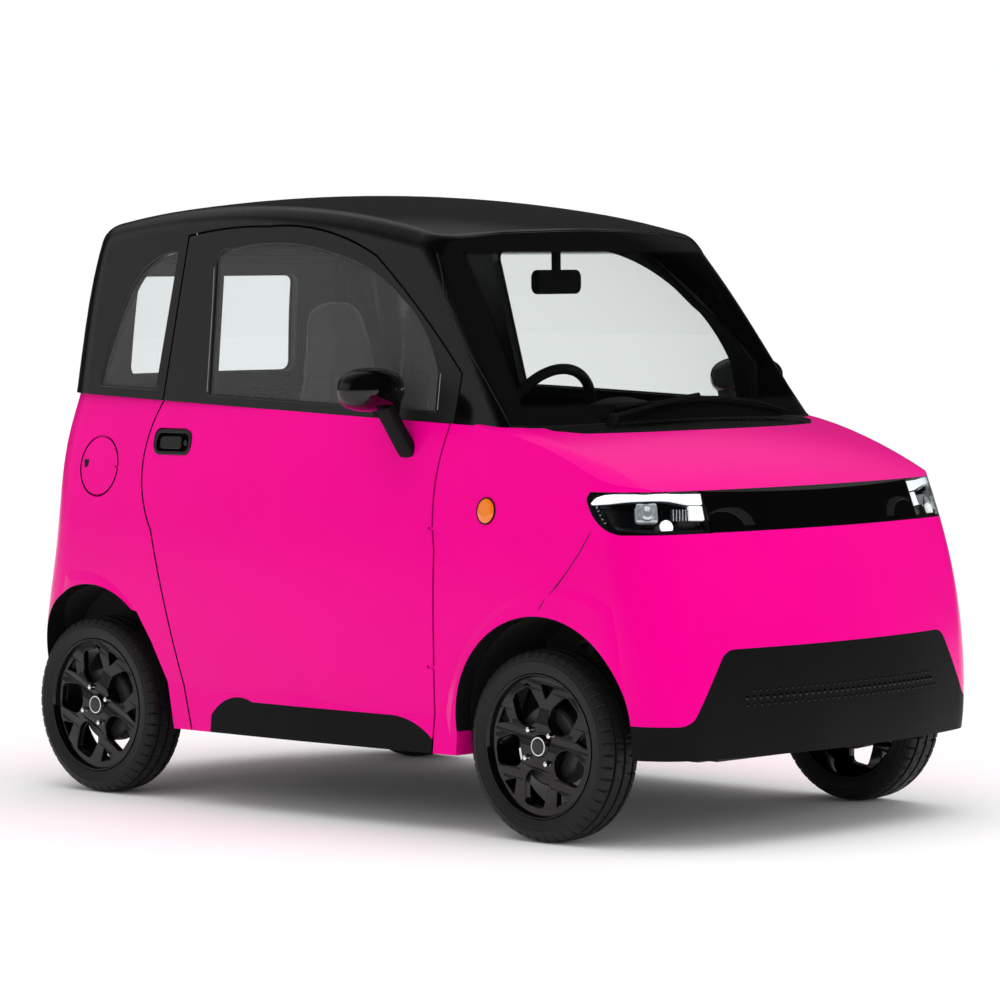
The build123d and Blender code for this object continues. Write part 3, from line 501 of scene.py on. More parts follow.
def on_skin(spot, normal, depth=0.0):
    """A frame on a skin, sunk by depth: X along it, Y up it, Z out of it."""
    side = Vector((0, 0, 1)).cross(normal).normalized()
    base = Matrix((side, normal.cross(side), normal)).transposed().to_4x4()
    base.translation = spot - normal * depth
    return base


def evenly(line, count):
    """Points at equal steps along a line of points."""
    line = [Vector(p) for p in line]
    length = [0.0]
    for p, q in zip(line, line[1:]):
        length.append(length[-1] + (q - p).length)
    return [
        Vector([np.interp(length[-1] * k / (count - 1), length, [p[i] for p in line]) for i in range(3)])
        for k in range(count)
    ]


def strip(tree, upper, lower, inward, thick, out, count=28):
    """A band between two lines of points, snapped to a skin and sunk below it along its normal."""
    rows = evenly(lower, count), evenly(upper, count)
    bm = bmesh.new()
    bmesh.ops.create_grid(bm, x_segments=count - 1, y_segments=1, size=0.5)
    below = bm.verts.layers.float_vector.new("below")
    for v in bm.verts:
        spot, normal = nearest(tree, rows[v.co.y > 0][round((v.co.x + 0.5) * (count - 1))], out)
        v.co = spot - normal * inward
        v[below] = -normal * thick
    made = bmesh.ops.extrude_face_region(bm, geom=bm.faces[:])["geom"]
    for v in made:
        if isinstance(v, bmesh.types.BMVert):
            v.co += v[below]
    bm.verts.layers.float_vector.remove(below)
    bmesh.ops.recalc_face_normals(bm, faces=bm.faces)
    return finished(bm, "strip")


def mirrored(mesh):
    """A copy of a mesh for the other side of the car."""
    return moved(mesh.copy(), Matrix.Scale(-1, 4, (1, 0, 0)))


def both_sides(name, mesh, mats, body, slot=None, sharp=35.0):
    """A piece made for the right side and its mirror image on the left; {} in body is the side."""
    other = mirrored(mesh)
    return [
        piece(f"{name}_{side}", shape, mats, body.format(side), slot, sharp)
        for (side, _), shape in zip(SIDES, (mesh, other))
    ]


# ---- tyres ---------------------------------------------------------------------------------------
TYRE_SIDE = (
    (0.0520, 0.1840), (0.0560, 0.1856), (0.0588, 0.1880), (0.0600, 0.1930), (0.0628, 0.2010),
    (0.0642, 0.2080), (0.0648, 0.2140), (0.0658, 0.2152), (0.0658, 0.2178), (0.0645, 0.2192),
    (0.0628, 0.2260), (0.0606, 0.2310), (0.0594, 0.2322), (0.0580, 0.2350), (0.0560, 0.2382),
    (0.0525, 0.2412), (0.0480, 0.2432), (0.0430, 0.2444), (0.0375, 0.2452), (0.0365, 0.2395),
    (0.0295, 0.2395), (0.0285, 0.2460), (0.0200, 0.2466), (0.0110, 0.2469), (0.0045, 0.2470),
    (0.0035, 0.2405),
)


def tyre_mesh(columns=384):
    """A tyre turned about X: three running grooves, slits across the shoulders, a raised sidewall ring."""
    half = list(TYRE_SIDE)
    profile = [(-x, r) for x, r in half] + [(x, r) for x, r in reversed(half)]
    profile += [(0.046, 0.186), (-0.046, 0.186)]
    mesh = lathe("tyre", profile, columns)
    for v in mesh.vertices:
        x, r = abs(v.co.x), math.hypot(v.co.y, v.co.z)
        column = round(math.atan2(v.co.z, v.co.y) / (2 * math.pi) * columns) % columns
        column += 3 if v.co.x > 0 else 0
        depth = 0.0
        if 0.039 < x < 0.0615 and r > 0.2300 and column % 8 == 0:
            depth = 0.0045
        elif 0.008 < x < 0.029 and r > 0.24 and (column + (4 if x > 0.015 else 0)) % 12 == 0:
            depth = 0.0035
        v.co.y, v.co.z = v.co.y * (1 - depth / r), v.co.z * (1 - depth / r)
    return mesh


def polar(radius, degrees):
    """The (a, b) of a polar point."""
    return (radius * math.cos(math.radians(degrees)), radius * math.sin(math.radians(degrees)))


# ---- wheels --------------------------------------------------------------------------------------
OPENING = ((0.062, -19), (0.100, -27.5), (0.163, -12), (0.163, 12), (0.100, 27.5), (0.062, 19))
FORK = ((0.118, 0), (0.164, 9.5), (0.164, -9.5))


def rim_mesh():
    """Spoked face, barrel and lip of a wheel whose outer side faces -X, about its own middle."""
    outlines = [[polar(0.1795, k * 3) for k in range(120)]]
    for number in range(5):
        turn = 90 + number * 72
        outlines.append(soft_outline([polar(r, turn + 36 + a) for r, a in OPENING], 0.018))
        outlines.append(soft_outline([polar(r, turn + a) for r, a in FORK], 0.009))
    face = plate("spokes", outlines, 0.0105, 0.0035)
    for v in face.vertices:
        r = math.hypot(v.co.x, v.co.y)
        v.co.z += 0.0095 * max(0.0, 1 - (r / 0.178) ** 2) - 0.004 * math.exp(-((r - 0.10) / 0.03) ** 2)
    # local Z becomes -X, outwards
    face.transform(Matrix(((0, 0, -1, -0.0365), (1, 0, 0, 0), (0, 1, 0, 0), (0, 0, 0, 1))))
    face.flip_normals()
    barrel = lathe("barrel", (
        (-0.0600, 0.1845), (-0.0600, 0.1825), (-0.0560, 0.1790), (-0.0500, 0.1770), (-0.0300, 0.1745),
        (0.0000, 0.1700), (0.0500, 0.1745), (0.0560, 0.1830), (0.0560, 0.1845), (0.0500, 0.1838),
        (-0.0500, 0.1838),
    ), 96)
    hub = lathe("hub", ((-0.040, 0.0), (-0.040, 0.058), (-0.030, 0.064), (-0.005, 0.060), (0.022, 0.05),
                        (0.022, 0.0)), 48, closed=False)
    return join("rim", [face, barrel, hub])


def nut_mesh():
    """One wheel nut about the X axis."""
    return lathe("nut", ((-0.0150, 0.0), (-0.0150, 0.0035), (-0.0135, 0.0065), (-0.0060, 0.0078),
                         (0.0, 0.0105), (0.0015, 0.0105)), 18, closed=False)


RIM_SHAPE, TYRE_SHAPE = rim_mesh(), tyre_mesh()
CAP_PROFILE = ((-0.0600, 0.0), (-0.0600, 0.020), (-0.0590, 0.0265), (-0.0560, 0.0295), (-0.048, 0.031))
RING_PROFILE = ((-0.0603, 0.0212), (-0.0606, 0.0218), (-0.0604, 0.0238), (-0.0598, 0.0242))
DRUM_PROFILE = ((-0.018, 0.0), (-0.018, 0.060), (-0.022, 0.066), (-0.022, 0.098), (-0.016, 0.104),
                (0.030, 0.106), (0.032, 0.0))
WHEEL_TURN = {"front": 9, "rear": 25}
VALVE_ANGLE = 1.1


def wheel(side, sign, end, y):
    """The tyre, rim, nuts, cap, drum and valve of one wheel; its own outer side faces -X."""
    body = f"wheel_{end}_{side}"
    flip = Matrix.Scale(-1, 4, (1, 0, 0)) if sign > 0 else Matrix.Identity(4)
    place = at(sign * WHEEL_X, y, WHEEL_R) @ flip @ turned(WHEEL_TURN[end], "X")
    tyre = piece(f"tread_{end}_{side}", moved(TYRE_SHAPE.copy(), place), RUBBER, body, "tyre", 28)
    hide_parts(f"tyre_{end}_{side}")
    rim = piece(f"alloy_{end}_{side}", moved(RIM_SHAPE.copy(), place), RIM, body, "black_alloy", 40)
    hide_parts(f"rim_{end}_{side}")
    nuts = [moved(nut_mesh(), at(-0.0525, *polar(0.052, 45 + 90 * k))) for k in range(4)]
    piece(f"wheel_nuts_{end}_{side}", moved(join("nuts", nuts), place), CHROME, body, "alloy")
    cap = lathe("cap", CAP_PROFILE, 48, closed=False)
    piece(f"wheel_cap_{end}_{side}", moved(cap, place), GLOSS_BLACK, body, "gloss_black")
    ring = lathe("ring", RING_PROFILE, 48)
    piece(f"cap_ring_{end}_{side}", moved(ring, place), PALE, body, "alloy")
    drum = lathe("drum", DRUM_PROFILE, 56, closed=False)
    piece(f"brake_drum_{end}_{side}", moved(drum, place), DRUM, body, "steel")
    along = math.cos(VALVE_ANGLE), math.sin(VALVE_ANGLE)
    stem = [(x, r * along[0], r * along[1]) for x, r in ((-0.046, 0.166), (-0.060, 0.158))]
    piece(f"valve_{end}_{side}", moved(pipe("valve", stem, 0.003, False), place), RUBBER, body, "tyre")


for side, sign in SIDES:
    for end, y in (("front", FRONT_AXLE), ("rear", REAR_AXLE)):
        wheel(side, sign, end, y)


# ---- headlights ----------------------------------------------------------------------------------
def skin_patch(node, out, least=0.2):
    """The outward-facing faces of a CAD node as its own mesh."""
    obj = nodes[node]
    bm = bmesh.new()
    bm.from_mesh(obj.data)
    bm.transform(obj.matrix_world)
    bmesh.ops.delete(bm, geom=[f for f in bm.faces if f.normal.dot(out) < least], context="FACES")
    bmesh.ops.remove_doubles(bm, verts=bm.verts, dist=0.0003)
    # the skin is the largest island
    left, islands = set(bm.faces), []
    while left:
        stack, group_faces = [left.pop()], []
        while stack:
            f = stack.pop()
            group_faces.append(f)
            for e in f.edges:
                for g in e.link_faces:
                    if g in left:
                        left.discard(g)
                        stack.append(g)
        islands.append(group_faces)
    islands.sort(key=lambda fs: sum(f.calc_area() for f in fs))
    for fs in islands[:-1]:
        bmesh.ops.delete(bm, geom=fs, context="FACES")
    bm.normal_update()
    return finished(bm, node + "_skin")


def shell(mesh, inward, thick, walls=False):
    """A sheet moved inward along its normals and made thick; walls closes its edge up to the skin."""
    bm = bmesh.new()
    bm.from_mesh(mesh)
    bm.normal_update()
    fresh = set()
    if walls:
        # the old sheet sinks, the fresh ring stays near the skin
        ring = bmesh.ops.extrude_edge_only(bm, edges=[e for e in bm.edges if e.is_boundary])
        fresh = {v for v in ring["geom"] if isinstance(v, bmesh.types.BMVert)}
    for v in bm.verts:
        if v not in fresh:
            v.co -= v.normal * inward
    bm.normal_update()
    holder = bpy.data.objects.new("holder", finished(bm, mesh.name))
    bpy.context.scene.collection.objects.link(holder)
    solid = holder.modifiers.new("solid", "SOLIDIFY")
    solid.thickness, solid.offset = thick, -1
    graph = bpy.context.evaluated_depsgraph_get()
    done = bpy.data.meshes.new_from_object(holder.evaluated_get(graph))
    bpy.data.objects.remove(holder)
    return done


OUT_FRONT = Vector((-0.6, -0.8, 0.0))
CUT_GLASS = material("cut_glass", (0.72, 0.75, 0.78), 0.12, metal=0.6, scale=70, bump=1.0, spread=0.1,
                     tint=0.25)
LAMP_TREE = tree_of("headlight_right", "nose_band")
LAMP_BLACK = material("lamp_housing", (0.004, 0.004, 0.005), 0.25, specular=0.4, scale=200, bump=0.2)

# Strips of the right headlight: name, upper line, lower line, depth, thickness, points, material, slot.
LAMP_STRIPS = (
    ("daylight_strip",
     ((-0.6300, -0.974, 0.870), (-0.6285, -0.986, 0.884), (-0.620, -1.014, 0.8925),
      (-0.564, -1.098, 0.8935), (-0.464, -1.137, 0.8925), (-0.405, -1.151, 0.8915)),
     ((-0.6300, -0.978, 0.8665), (-0.6290, -0.994, 0.868), (-0.622, -1.026, 0.871),
      (-0.566, -1.100, 0.8790), (-0.501, -1.132, 0.8775), (-0.454, -1.149, 0.8680), (-0.408, -1.160, 0.866)),
     0.004, 0.010, 28, WHITE_LIGHT, "lamp_cover"),
    ("lamp_brow",
     ((-0.628, -1.000, 0.866), (-0.600, -1.070, 0.872), (-0.520, -1.125, 0.872), (-0.465, -1.147, 0.863),
      (-0.452, -1.152, 0.850)),
     ((-0.630, -1.003, 0.858), (-0.602, -1.075, 0.862), (-0.522, -1.130, 0.862), (-0.472, -1.149, 0.853),
      (-0.462, -1.153, 0.846)),
     0.010, 0.018, 28, GLOSS_BLACK, "lamp_cover"),
    ("bright_square",
     ((-0.449, -1.150, 0.8630), (-0.404, -1.162, 0.8610)),
     ((-0.456, -1.161, 0.8290), (-0.408, -1.173, 0.8270)),
     0.006, 0.010, 6, SPOT_LIGHT, "lamp_cover"),
    ("lower_reflector",
     ((-0.628, -1.047, 0.8150), (-0.600, -1.098, 0.8090), (-0.554, -1.142, 0.8040),
      (-0.500, -1.160, 0.8050), (-0.410, -1.183, 0.8050)),
     ((-0.624, -1.058, 0.8060), (-0.598, -1.103, 0.7990), (-0.552, -1.144, 0.7965),
      (-0.500, -1.162, 0.7960), (-0.410, -1.185, 0.7960)),
     0.008, 0.012, 28, SILVER, "alloy"),
    ("lamp_end",
     ((-0.4075, -1.148, 0.893), (-0.4035, -1.151, 0.893)),
     ((-0.4175, -1.182, 0.797), (-0.4110, -1.185, 0.797)),
     0.0005, 0.012, 8, TRIM, "black_trim"),
)
PROJECTOR, ROUND_LAMP = (-0.568, -1.112, 0.851), (-0.527, -1.148, 0.816)
EYE_PROFILE = ((0.0, 0.0), (-0.006, 0.006), (-0.0085, 0.014), (-0.006, 0.020), (0.0, 0.023))
BALL_PROFILE = ((0.0, 0.0), (-0.004, 0.009), (-0.003, 0.015), (0.0, 0.0175), (0.006, 0.0175))
MARKERS = ((-0.631, -0.992, 0.861), (-0.632, -0.998, 0.852), (-0.632, -1.005, 0.842),
           (-0.632, -1.013, 0.832), (-0.632, -1.022, 0.823))


def set_in_lamp(name, points, size, soft, segments, depth):
    """Small upright blocks sunk behind the lamp's skin at some points, as one mesh."""
    blocks = []
    for point in points:
        spot, normal = nearest(LAMP_TREE, point, OUT_FRONT)
        place = Matrix.Translation(spot - normal * depth)
        blocks.append(moved(rounded_box(name, size, soft, segments), place))
    return join(name, blocks)


def lamp_parts():
    """The name, mesh, material and slot of each piece of the right headlight."""
    skin = skin_patch("headlight_right", OUT_FRONT, 0.15)
    yield "lamp_lens", shell(skin, 0.0, 0.0014), CLEAR, "lamp_cover"
    yield "lamp_bowl", shell(skin, 0.036, 0.0012, walls=True), LAMP_BLACK, "lamp_cover"
    for label, upper, lower, depth, thick, count, mat, slot in LAMP_STRIPS:
        yield label, strip(LAMP_TREE, upper, lower, depth, thick, OUT_FRONT, count), mat, slot
    # square projector: a faceted lens block with an eye in it
    base = on_skin(*nearest(LAMP_TREE, PROJECTOR, OUT_FRONT), 0.022)
    block = rounded_box("projector", (0.058, 0.054, 0.026), 0.009)
    yield "projector_lens", moved(block, base), CUT_GLASS, "alloy"
    eye = lathe("eye", EYE_PROFILE, 28, closed=False)
    eye.transform(turned(90, "Y"))
    yield "projector_eye", moved(eye, base @ at(0, 0, 0.013)), CUT_GLASS, "lamp_cover"
    # round lamp beside it
    ball = lathe("ball", BALL_PROFILE, 28, closed=False)
    ball.transform(turned(90, "Y"))
    base = on_skin(*nearest(LAMP_TREE, ROUND_LAMP, OUT_FRONT), 0.012)
    yield "round_lamp", moved(ball, base), SPOT_LIGHT, "lamp_cover"
    dots = set_in_lamp("dots", MARKERS, (0.006, 0.006, 0.005), 0.0018, 2, 0.008)
    yield "marker_dots", dots, SILVER, "alloy"
    row = [(-0.500 + 0.009 * k, -1.148 - 0.003 * k, 0.845) for k in range(5)]
    yield "lamp_fins", set_in_lamp("fins", row, (0.004, 0.010, 0.030), 0.0012, 1, 0.016), SILVER, "alloy"


for label, mesh, mat, slot in lamp_parts():
    right, left = both_sides(label, mesh, mat, "body", slot)
    if label == "lamp_bowl":
        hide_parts("headlight_right")
        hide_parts("headlight_left")


# ---- front and side trim -------------------------------------------------------------------------
BUMPER_TREE = tree_of("lower_bumper")
STUD_ROWS = ((0.414, 0.0028, 0.347), (0.396, 0.0052, 0.362), (0.378, 0.0080, 0.374),
             (0.360, 0.0058, 0.384), (0.342, 0.0030, 0.392))  # height, half width and half length of a row
STUDS_IN_ROW, STUD_FOOT = 34, 0.001


def add_stud(bm, spot, normal, wide):
    """A four-sided raised stud on a surface, its foot a little below it."""
    side = Vector((0, 0, 1)).cross(normal).normalized()
    tall, rise = wide * 1.15, wide * 0.7 + STUD_FOOT
    axes = (side * wide, normal.cross(side) * tall, normal * rise)
    place = Matrix(axes).transposed().to_4x4()
    place.translation = spot + normal * (rise / 2 - STUD_FOOT)
    bmesh.ops.create_cone(bm, segments=4, radius1=1.0, radius2=0.0, depth=1.0, matrix=place)


def grille_studs():
    """Rows of studs on the lower grille, every other row shifted by half a step."""
    bm = bmesh.new()
    for number, (z, size, reach) in enumerate(STUD_ROWS):
        for k in range(STUDS_IN_ROW):
            x = -reach + 2 * reach * (k + 0.5 * (number % 2)) / STUDS_IN_ROW
            spot, normal, _, _ = BUMPER_TREE.ray_cast(Vector((x, -3, z)), Vector((0, 1, 0)))
            if spot is not None:
                add_stud(bm, spot, facing(normal, Vector((0, -1, 0))), size)
    bmesh.ops.remove_doubles(bm, verts=bm.verts, dist=1e-6)
    bmesh.ops.recalc_face_normals(bm, faces=bm.faces)
    return finished(bm, "grille_studs")


piece("grille_studs", grille_studs(), GLOSS_BLACK, "body", "black_trim", 20)

# orange side repeater
FENDER = tree_of("front_body")
REPEATER_PROFILE = ((-0.0085, 0.0), (-0.0080, 0.014), (-0.0060, 0.024), (-0.0025, 0.0285), (0.001, 0.0290))
REPEATER_RIM = ((-0.0030, 0.0285), (-0.0040, 0.0300), (-0.0030, 0.0315), (0.001, 0.0320), (0.001, 0.0285))


def repeater_place():
    """Turns a lathed shape that faces -X onto the fender, a little taller than it is long."""
    spot, normal, _, _ = FENDER.ray_cast(Vector((-3, -0.634, 0.841)), Vector((1, 0, 0)))
    turn = Vector((-1, 0, 0)).rotation_difference(facing(normal, Vector((-1, 0, 0))))
    return Matrix.Translation(spot) @ turn.to_matrix().to_4x4() @ Matrix.Diagonal((1, 1, 1.12, 1))


both_sides("side_repeater", moved(lathe("repeater", REPEATER_PROFILE, 40, closed=False), repeater_place()),
           AMBER, "body", "red_lens")
both_sides("repeater_rim", moved(lathe("repeater_rim", REPEATER_RIM, 40), repeater_place()),
           TRIM, "body", "black_trim")

# door handles: a dark recess with a lever across it
DOOR_TREE = tree_of("door_right")
HANDLE_Y, HANDLE_Z = 0.580, 0.990
CUP_DEPTH = 0.024


def box_outline(wide, tall, soft, step=0.008, shift=0.0):
    """A rectangle with round corners, as closely spaced points."""
    corners = [(-wide / 2, -tall / 2), (wide / 2, -tall / 2), (wide / 2, tall / 2), (-wide / 2, tall / 2)]
    return soft_outline([(a + shift, b) for a, b in corners], soft, step)


def on_door(mesh, depth=0.0):
    """Lays a flat plate on the door's outer skin at the handle, sunk by depth."""
    over, under, front, behind = (
        from_side(DOOR_TREE, HANDLE_Y + y, HANDLE_Z + z)
        for y, z in ((0, 0.055), (0, -0.055), (-0.1, 0), (0.1, 0))
    )
    up, along = (over - under).normalized(), (behind - front).normalized()
    normal = facing(up.cross(along).normalized(), Vector((-1, 0, 0)))
    base = Matrix((up.cross(normal), up, normal)).transposed().to_4x4()
    base.translation = (over + under + front + behind) / 4 - normal * depth
    return moved(mesh, base)


def wall_mesh(outline, depth):
    """A band that goes straight down from an outline."""
    bm = bmesh.new()
    ring = [bm.verts.new((a, b, 0.0)) for a, b in outline]
    edges = [bm.edges.new(pair) for pair in zip(ring, ring[1:] + ring[:1])]
    made = bmesh.ops.extrude_edge_only(bm, edges=edges)["geom"]
    bmesh.ops.translate(bm, vec=(0, 0, -depth), verts=[v for v in made if isinstance(v, bmesh.types.BMVert)])
    bmesh.ops.recalc_face_normals(bm, faces=bm.faces)
    return finished(bm, "wall")


RECESS, CUP = box_outline(0.152, 0.068, 0.026, 0.006), box_outline(0.136, 0.054, 0.021, 0.006)
LEVER = box_outline(0.088, 0.032, 0.012, 0.006, -0.014)
lock = lathe("lock", ((-0.003, 0.0), (-0.003, 0.007), (-0.0015, 0.0088), (0.004, 0.009)), 24, closed=False)
lock.transform(turned(90, "Y"))
for label, mesh, depth, mat, slot in (
    ("handle_bezel", plate("bezel", [RECESS, CUP], 0.004, 0.0015), 0.001, GLOSS_BLACK, "gloss_black"),
    ("handle_cup", plate("cup", [CUP], 0.002, 0.0005), CUP_DEPTH + 0.0005, TRIM, "black_trim"),
    ("handle_lever", plate("lever", [LEVER], 0.005, 0.0025), 0.008, GLOSS_BLACK, "gloss_black"),
    ("door_lock", moved(lock, at(0.049, 0, 0)), 0.004, GLOSS_BLACK, "alloy"),
    ("handle_wall", wall_mesh(CUP, CUP_DEPTH), 0.001, TRIM, "black_trim"),
):
    both_sides(label, on_door(mesh, depth), mat, "door_{}", slot)


# ---- cabin ---------------------------------------------------------------------------------------
def block_form(name, size, place, cuts=7, shape=None, tilt=0.0):
    """A cube cut into a grid and shaped by a function of its own -1..1 coordinates."""
    bm = bmesh.new()
    bmesh.ops.create_cube(bm, size=2.0)
    bmesh.ops.subdivide_edges(bm, edges=bm.edges[:], cuts=cuts, use_grid_fill=True)
    for v in bm.verts:
        u = v.co.copy()
        v.co = Vector((u.x * size[0] / 2, u.y * size[1] / 2, u.z * size[2] / 2))
        if shape:
            v.co = Vector(shape(u, v.co))
    bm.transform(Matrix.Translation(place) @ turned(tilt, "X"))
    return finished(bm, name)


def apply_modifiers(obj):
    """Makes an object's modifiers part of its mesh."""
    graph = bpy.context.evaluated_depsgraph_get()
    mesh = bpy.data.meshes.new_from_object(obj.evaluated_get(graph))
    old = obj.data
    obj.modifiers.clear()
    obj.data = mesh
    mesh.name = obj.name
    bpy.data.meshes.remove(old)


def stuffed(name, mesh, voxel=0.006, pressure=4.0, cap=0.024):
    """Swells a closed form like a sewn and filled cushion, and returns its mesh."""
    obj = bpy.data.objects.new(name, mesh)
    bpy.context.scene.collection.objects.link(obj)
    remesh = obj.modifiers.new("remesh", "REMESH")
    remesh.mode, remesh.voxel_size, remesh.use_smooth_shade = "VOXEL", voxel, True
    apply_modifiers(obj)
    start = np.empty(len(obj.data.vertices) * 3)
    obj.data.vertices.foreach_get("co", start)
    start = start.reshape(-1, 3)
    cloth = obj.modifiers.new("cloth", "CLOTH")
    cloth.settings.use_pressure = True
    cloth.settings.uniform_pressure_force = pressure
    cloth.settings.effector_weights.gravity = 0.0
    cloth.settings.quality = 4
    scene = bpy.context.scene
    for number in range(1, 21):
        scene.frame_set(number)
    apply_modifiers(obj)
    scene.frame_set(1)
    end = np.empty(len(obj.data.vertices) * 3)
    obj.data.vertices.foreach_get("co", end)
    move = end.reshape(-1, 3) - start
    far = np.linalg.norm(move, axis=1, keepdims=True)
    move *= np.minimum(1.0, cap / np.maximum(far, 1e-9))
    obj.data.vertices.foreach_set("co", (start + move).ravel())
    finer = obj.modifiers.new("finer", "SUBSURF")
    finer.levels = finer.render_levels = 1
    apply_modifiers(obj)
    done = obj.data
    bpy.data.objects.remove(obj)
    return done


def smooth_step(t):
    """0 to 1 with flat ends."""
    t = min(1.0, max(0.0, t))
    return t * t * (3 - 2 * t)


# A seat about x = 0, which both seats are moved from: shares of the height, with places and half widths.
BACK_Y = ((0.0, 0.232), (0.30, 0.255), (0.62, 0.292), (0.80, 0.325), (1.0, 0.345))
BACK_HALF = ((0.0, 0.185), (0.20, 0.205), (0.45, 0.205), (0.66, 0.178), (0.78, 0.135), (0.88, 0.118),
             (1.0, 0.098))


def back_shape(u, p):
    """The upright: wide at the shoulders, narrow at the head, rounded at its top, with raised sides."""
    t = (u.z + 1) / 2
    half = np.interp(t, *zip(*BACK_HALF))
    middle = np.interp(t, *zip(*BACK_Y))
    z = 0.50 + 0.875 * t - 0.050 * smooth_step((t - 0.75) * 4) * abs(u.x) ** 2.4
    thick = 0.044 * (1 - 0.45 * u.x ** 4) * (1 - 0.25 * t)
    y = middle + u.y * thick
    if u.y < 0:
        y -= 0.028 * smooth_step((abs(u.x) - 0.45) * 2.2) * (1 - smooth_step((t - 0.55) * 4))
        y -= 0.018 * math.exp(-((t - 0.16) / 0.12) ** 2) * (1 - u.x ** 2)
        y -= 0.016 * math.exp(-((t - 0.90) / 0.08) ** 2) * (1 - u.x ** 2)
    return (u.x * half, y, z)


def base_shape(u, p):
    """The cushion: raised sides, rounded front over the knees."""
    t = (u.y + 1) / 2
    half = 0.205 - 0.014 * t
    y = -0.125 + 0.385 * t
    z = 0.455 - 0.012 * t + u.z * 0.050 * (1 - 0.30 * u.x ** 4)
    if u.z > 0:
        z += 0.020 * smooth_step((abs(u.x) - 0.5) * 2.2)
        z -= 0.018 * smooth_step((0.16 - t) * 6)
    return (u.x * half, y, z)


seat_back = stuffed("seat_back", block_form("seat_back", (1, 1, 1), (0, 0, 0), 15, back_shape))
seat_base = stuffed("seat_base", block_form("seat_base", (1, 1, 1), (0, 0, 0), 11, base_shape))


def on_mesh(mesh, points, towards, lift):
    """Points set on a mesh by looking along a direction, stood off by lift."""
    tree = BVHTree.FromPolygons([v.co for v in mesh.vertices], [tuple(p.vertices) for p in mesh.polygons])
    out = []
    for p in points:
        spot, normal, _, _ = tree.ray_cast(Vector(p) - Vector(towards) * 0.6, Vector(towards))
        if spot is not None:
            out.append(spot - Vector(towards) * lift)
    return out


def seam_on(mesh, line, towards):
    """A thin cord pressed into a cushion along a line."""
    return pipe("seam", on_mesh(mesh, line, towards, -0.0005), 0.0022, rings=1)


back_seams = []
for x in (-0.105, 0.105):
    line = [(x * (1 - 0.25 * smooth_step((z - 1.05) * 5)), 0.3, z) for z in np.linspace(0.53, 1.16, 14)]
    back_seams.append(seam_on(seat_back, line, (0, 1, 0)))
for z in (0.80, 0.96, 1.165):
    reach = 0.105 if z < 1.1 else 0.115
    line = [(x, 0.3, z + 0.012 * (1 - (x / reach) ** 2)) for x in np.linspace(-reach, reach, 11)]
    back_seams.append(seam_on(seat_back, line, (0, 1, 0)))
base_lines = [[(x, y, 0.45) for y in np.linspace(-0.10, 0.22, 12)] for x in (-0.115, 0.115)]
base_lines.append([(x, 0.06, 0.45) for x in np.linspace(-0.115, 0.115, 9)])
base_seams = [seam_on(seat_base, line, (0, 0, -1)) for line in base_lines]

plinth = block_form("plinth", (0.36, 0.33, 0.020), (0, 0.075, 0.394), 3)
rails = [moved(rounded_box("rail", (0.030, 0.34, 0.026), 0.005, 2), at(x, 0.075, 0.372))
         for x in (-0.15, 0.15)]
legs = [
    moved(rounded_box("leg", (0.034, 0.050, 0.130), 0.006, 2), at(x, y, 0.304))
    for x in (-0.135, 0.135) for y in (-0.06, 0.21)
]
shell_back = block_form("back_shell", (1, 1, 1), (0, 0, 0), 9, lambda u, p: (
    u.x * np.interp((u.z + 1) / 2, *zip(*BACK_HALF)) * 0.93,
    np.interp((u.z + 1) / 2, *zip(*BACK_Y)) + 0.040 + u.y * 0.010,
    0.53 + 0.60 * (u.z + 1) / 2,
))
RECLINER = ((-0.012, 0.0), (-0.012, 0.030), (-0.008, 0.040), (0.008, 0.042), (0.010, 0.0))
covers = [moved(lathe("recliner", RECLINER, 28, closed=False), at(s * 0.214, 0.245, 0.475)) for s in (-1, 1)]
levers = [pipe("lever", [(-0.222, 0.225, 0.470), (-0.228, 0.16, 0.462), (-0.230, 0.10, 0.458)], 0.008)]
BELT = block_form("buckle", (0.030, 0.018, 0.085), (0.226, 0.215, 0.520), 1, tilt=-12)


def seat_pieces(seat, x, y):
    """One seat moved to its place: pads, seams, frame, back shell and buckle."""
    def put(name, mesh, mat, slot, sharp=35.0):
        """A piece of this seat."""
        return piece(f"{seat}_{name}", moved(mesh.copy(), at(x, y, 0)), mat, "body", slot, sharp)
    for name, mesh in (("back_pad", seat_back), ("base_pad", seat_base)):
        pad = put(name, mesh, FABRIC, "upholstery", 0)
        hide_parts(seat)
    put("back_seams", join("seams", back_seams), PIPING, "upholstery", 0)
    put("base_seams", join("seams", base_seams), PIPING, "upholstery", 0)
    put("frame", join("frame", [plinth, *rails, *legs]), STEEL, "steel")
    put("shell", join("shell", [shell_back, *covers, *levers]), CABIN, "cabin_plastic")
    put("buckle", BELT, TRIM, "cabin_plastic")


for seat, (x, y) in SEATS.items():
    seat_pieces(seat, x, y)
# steering column cover, stalks, dials and their hood, middle screen, vents, glove box and handbrake
COLUMN = at(STEER[0], STEER[1] - 0.170, 0.955)
column = block_form("column_cover", (0.105, 0.20, 0.075), COLUMN.translation, 4, lambda u, p: (
    p.x * (1 - 0.22 * u.z ** 2), p.y, p.z * (1 - 0.25 * u.x ** 2)))
column.transform(COLUMN @ turned(-25, "X") @ COLUMN.inverted())
piece("column_cover", column, CABIN, "body", "cabin_plastic", 45)
STALK = ((0.03, -0.085, 0.985), (0.10, -0.075, 0.992), (0.165, -0.068, 1.000))
stalks = [pipe("stalk", [(STEER[0] + s * x, STEER[1] + y, z) for x, y, z in STALK], 0.0075) for s in (-1, 1)]
piece("column_stalks", join("stalks", stalks), TRIM, "body", "cabin_plastic")


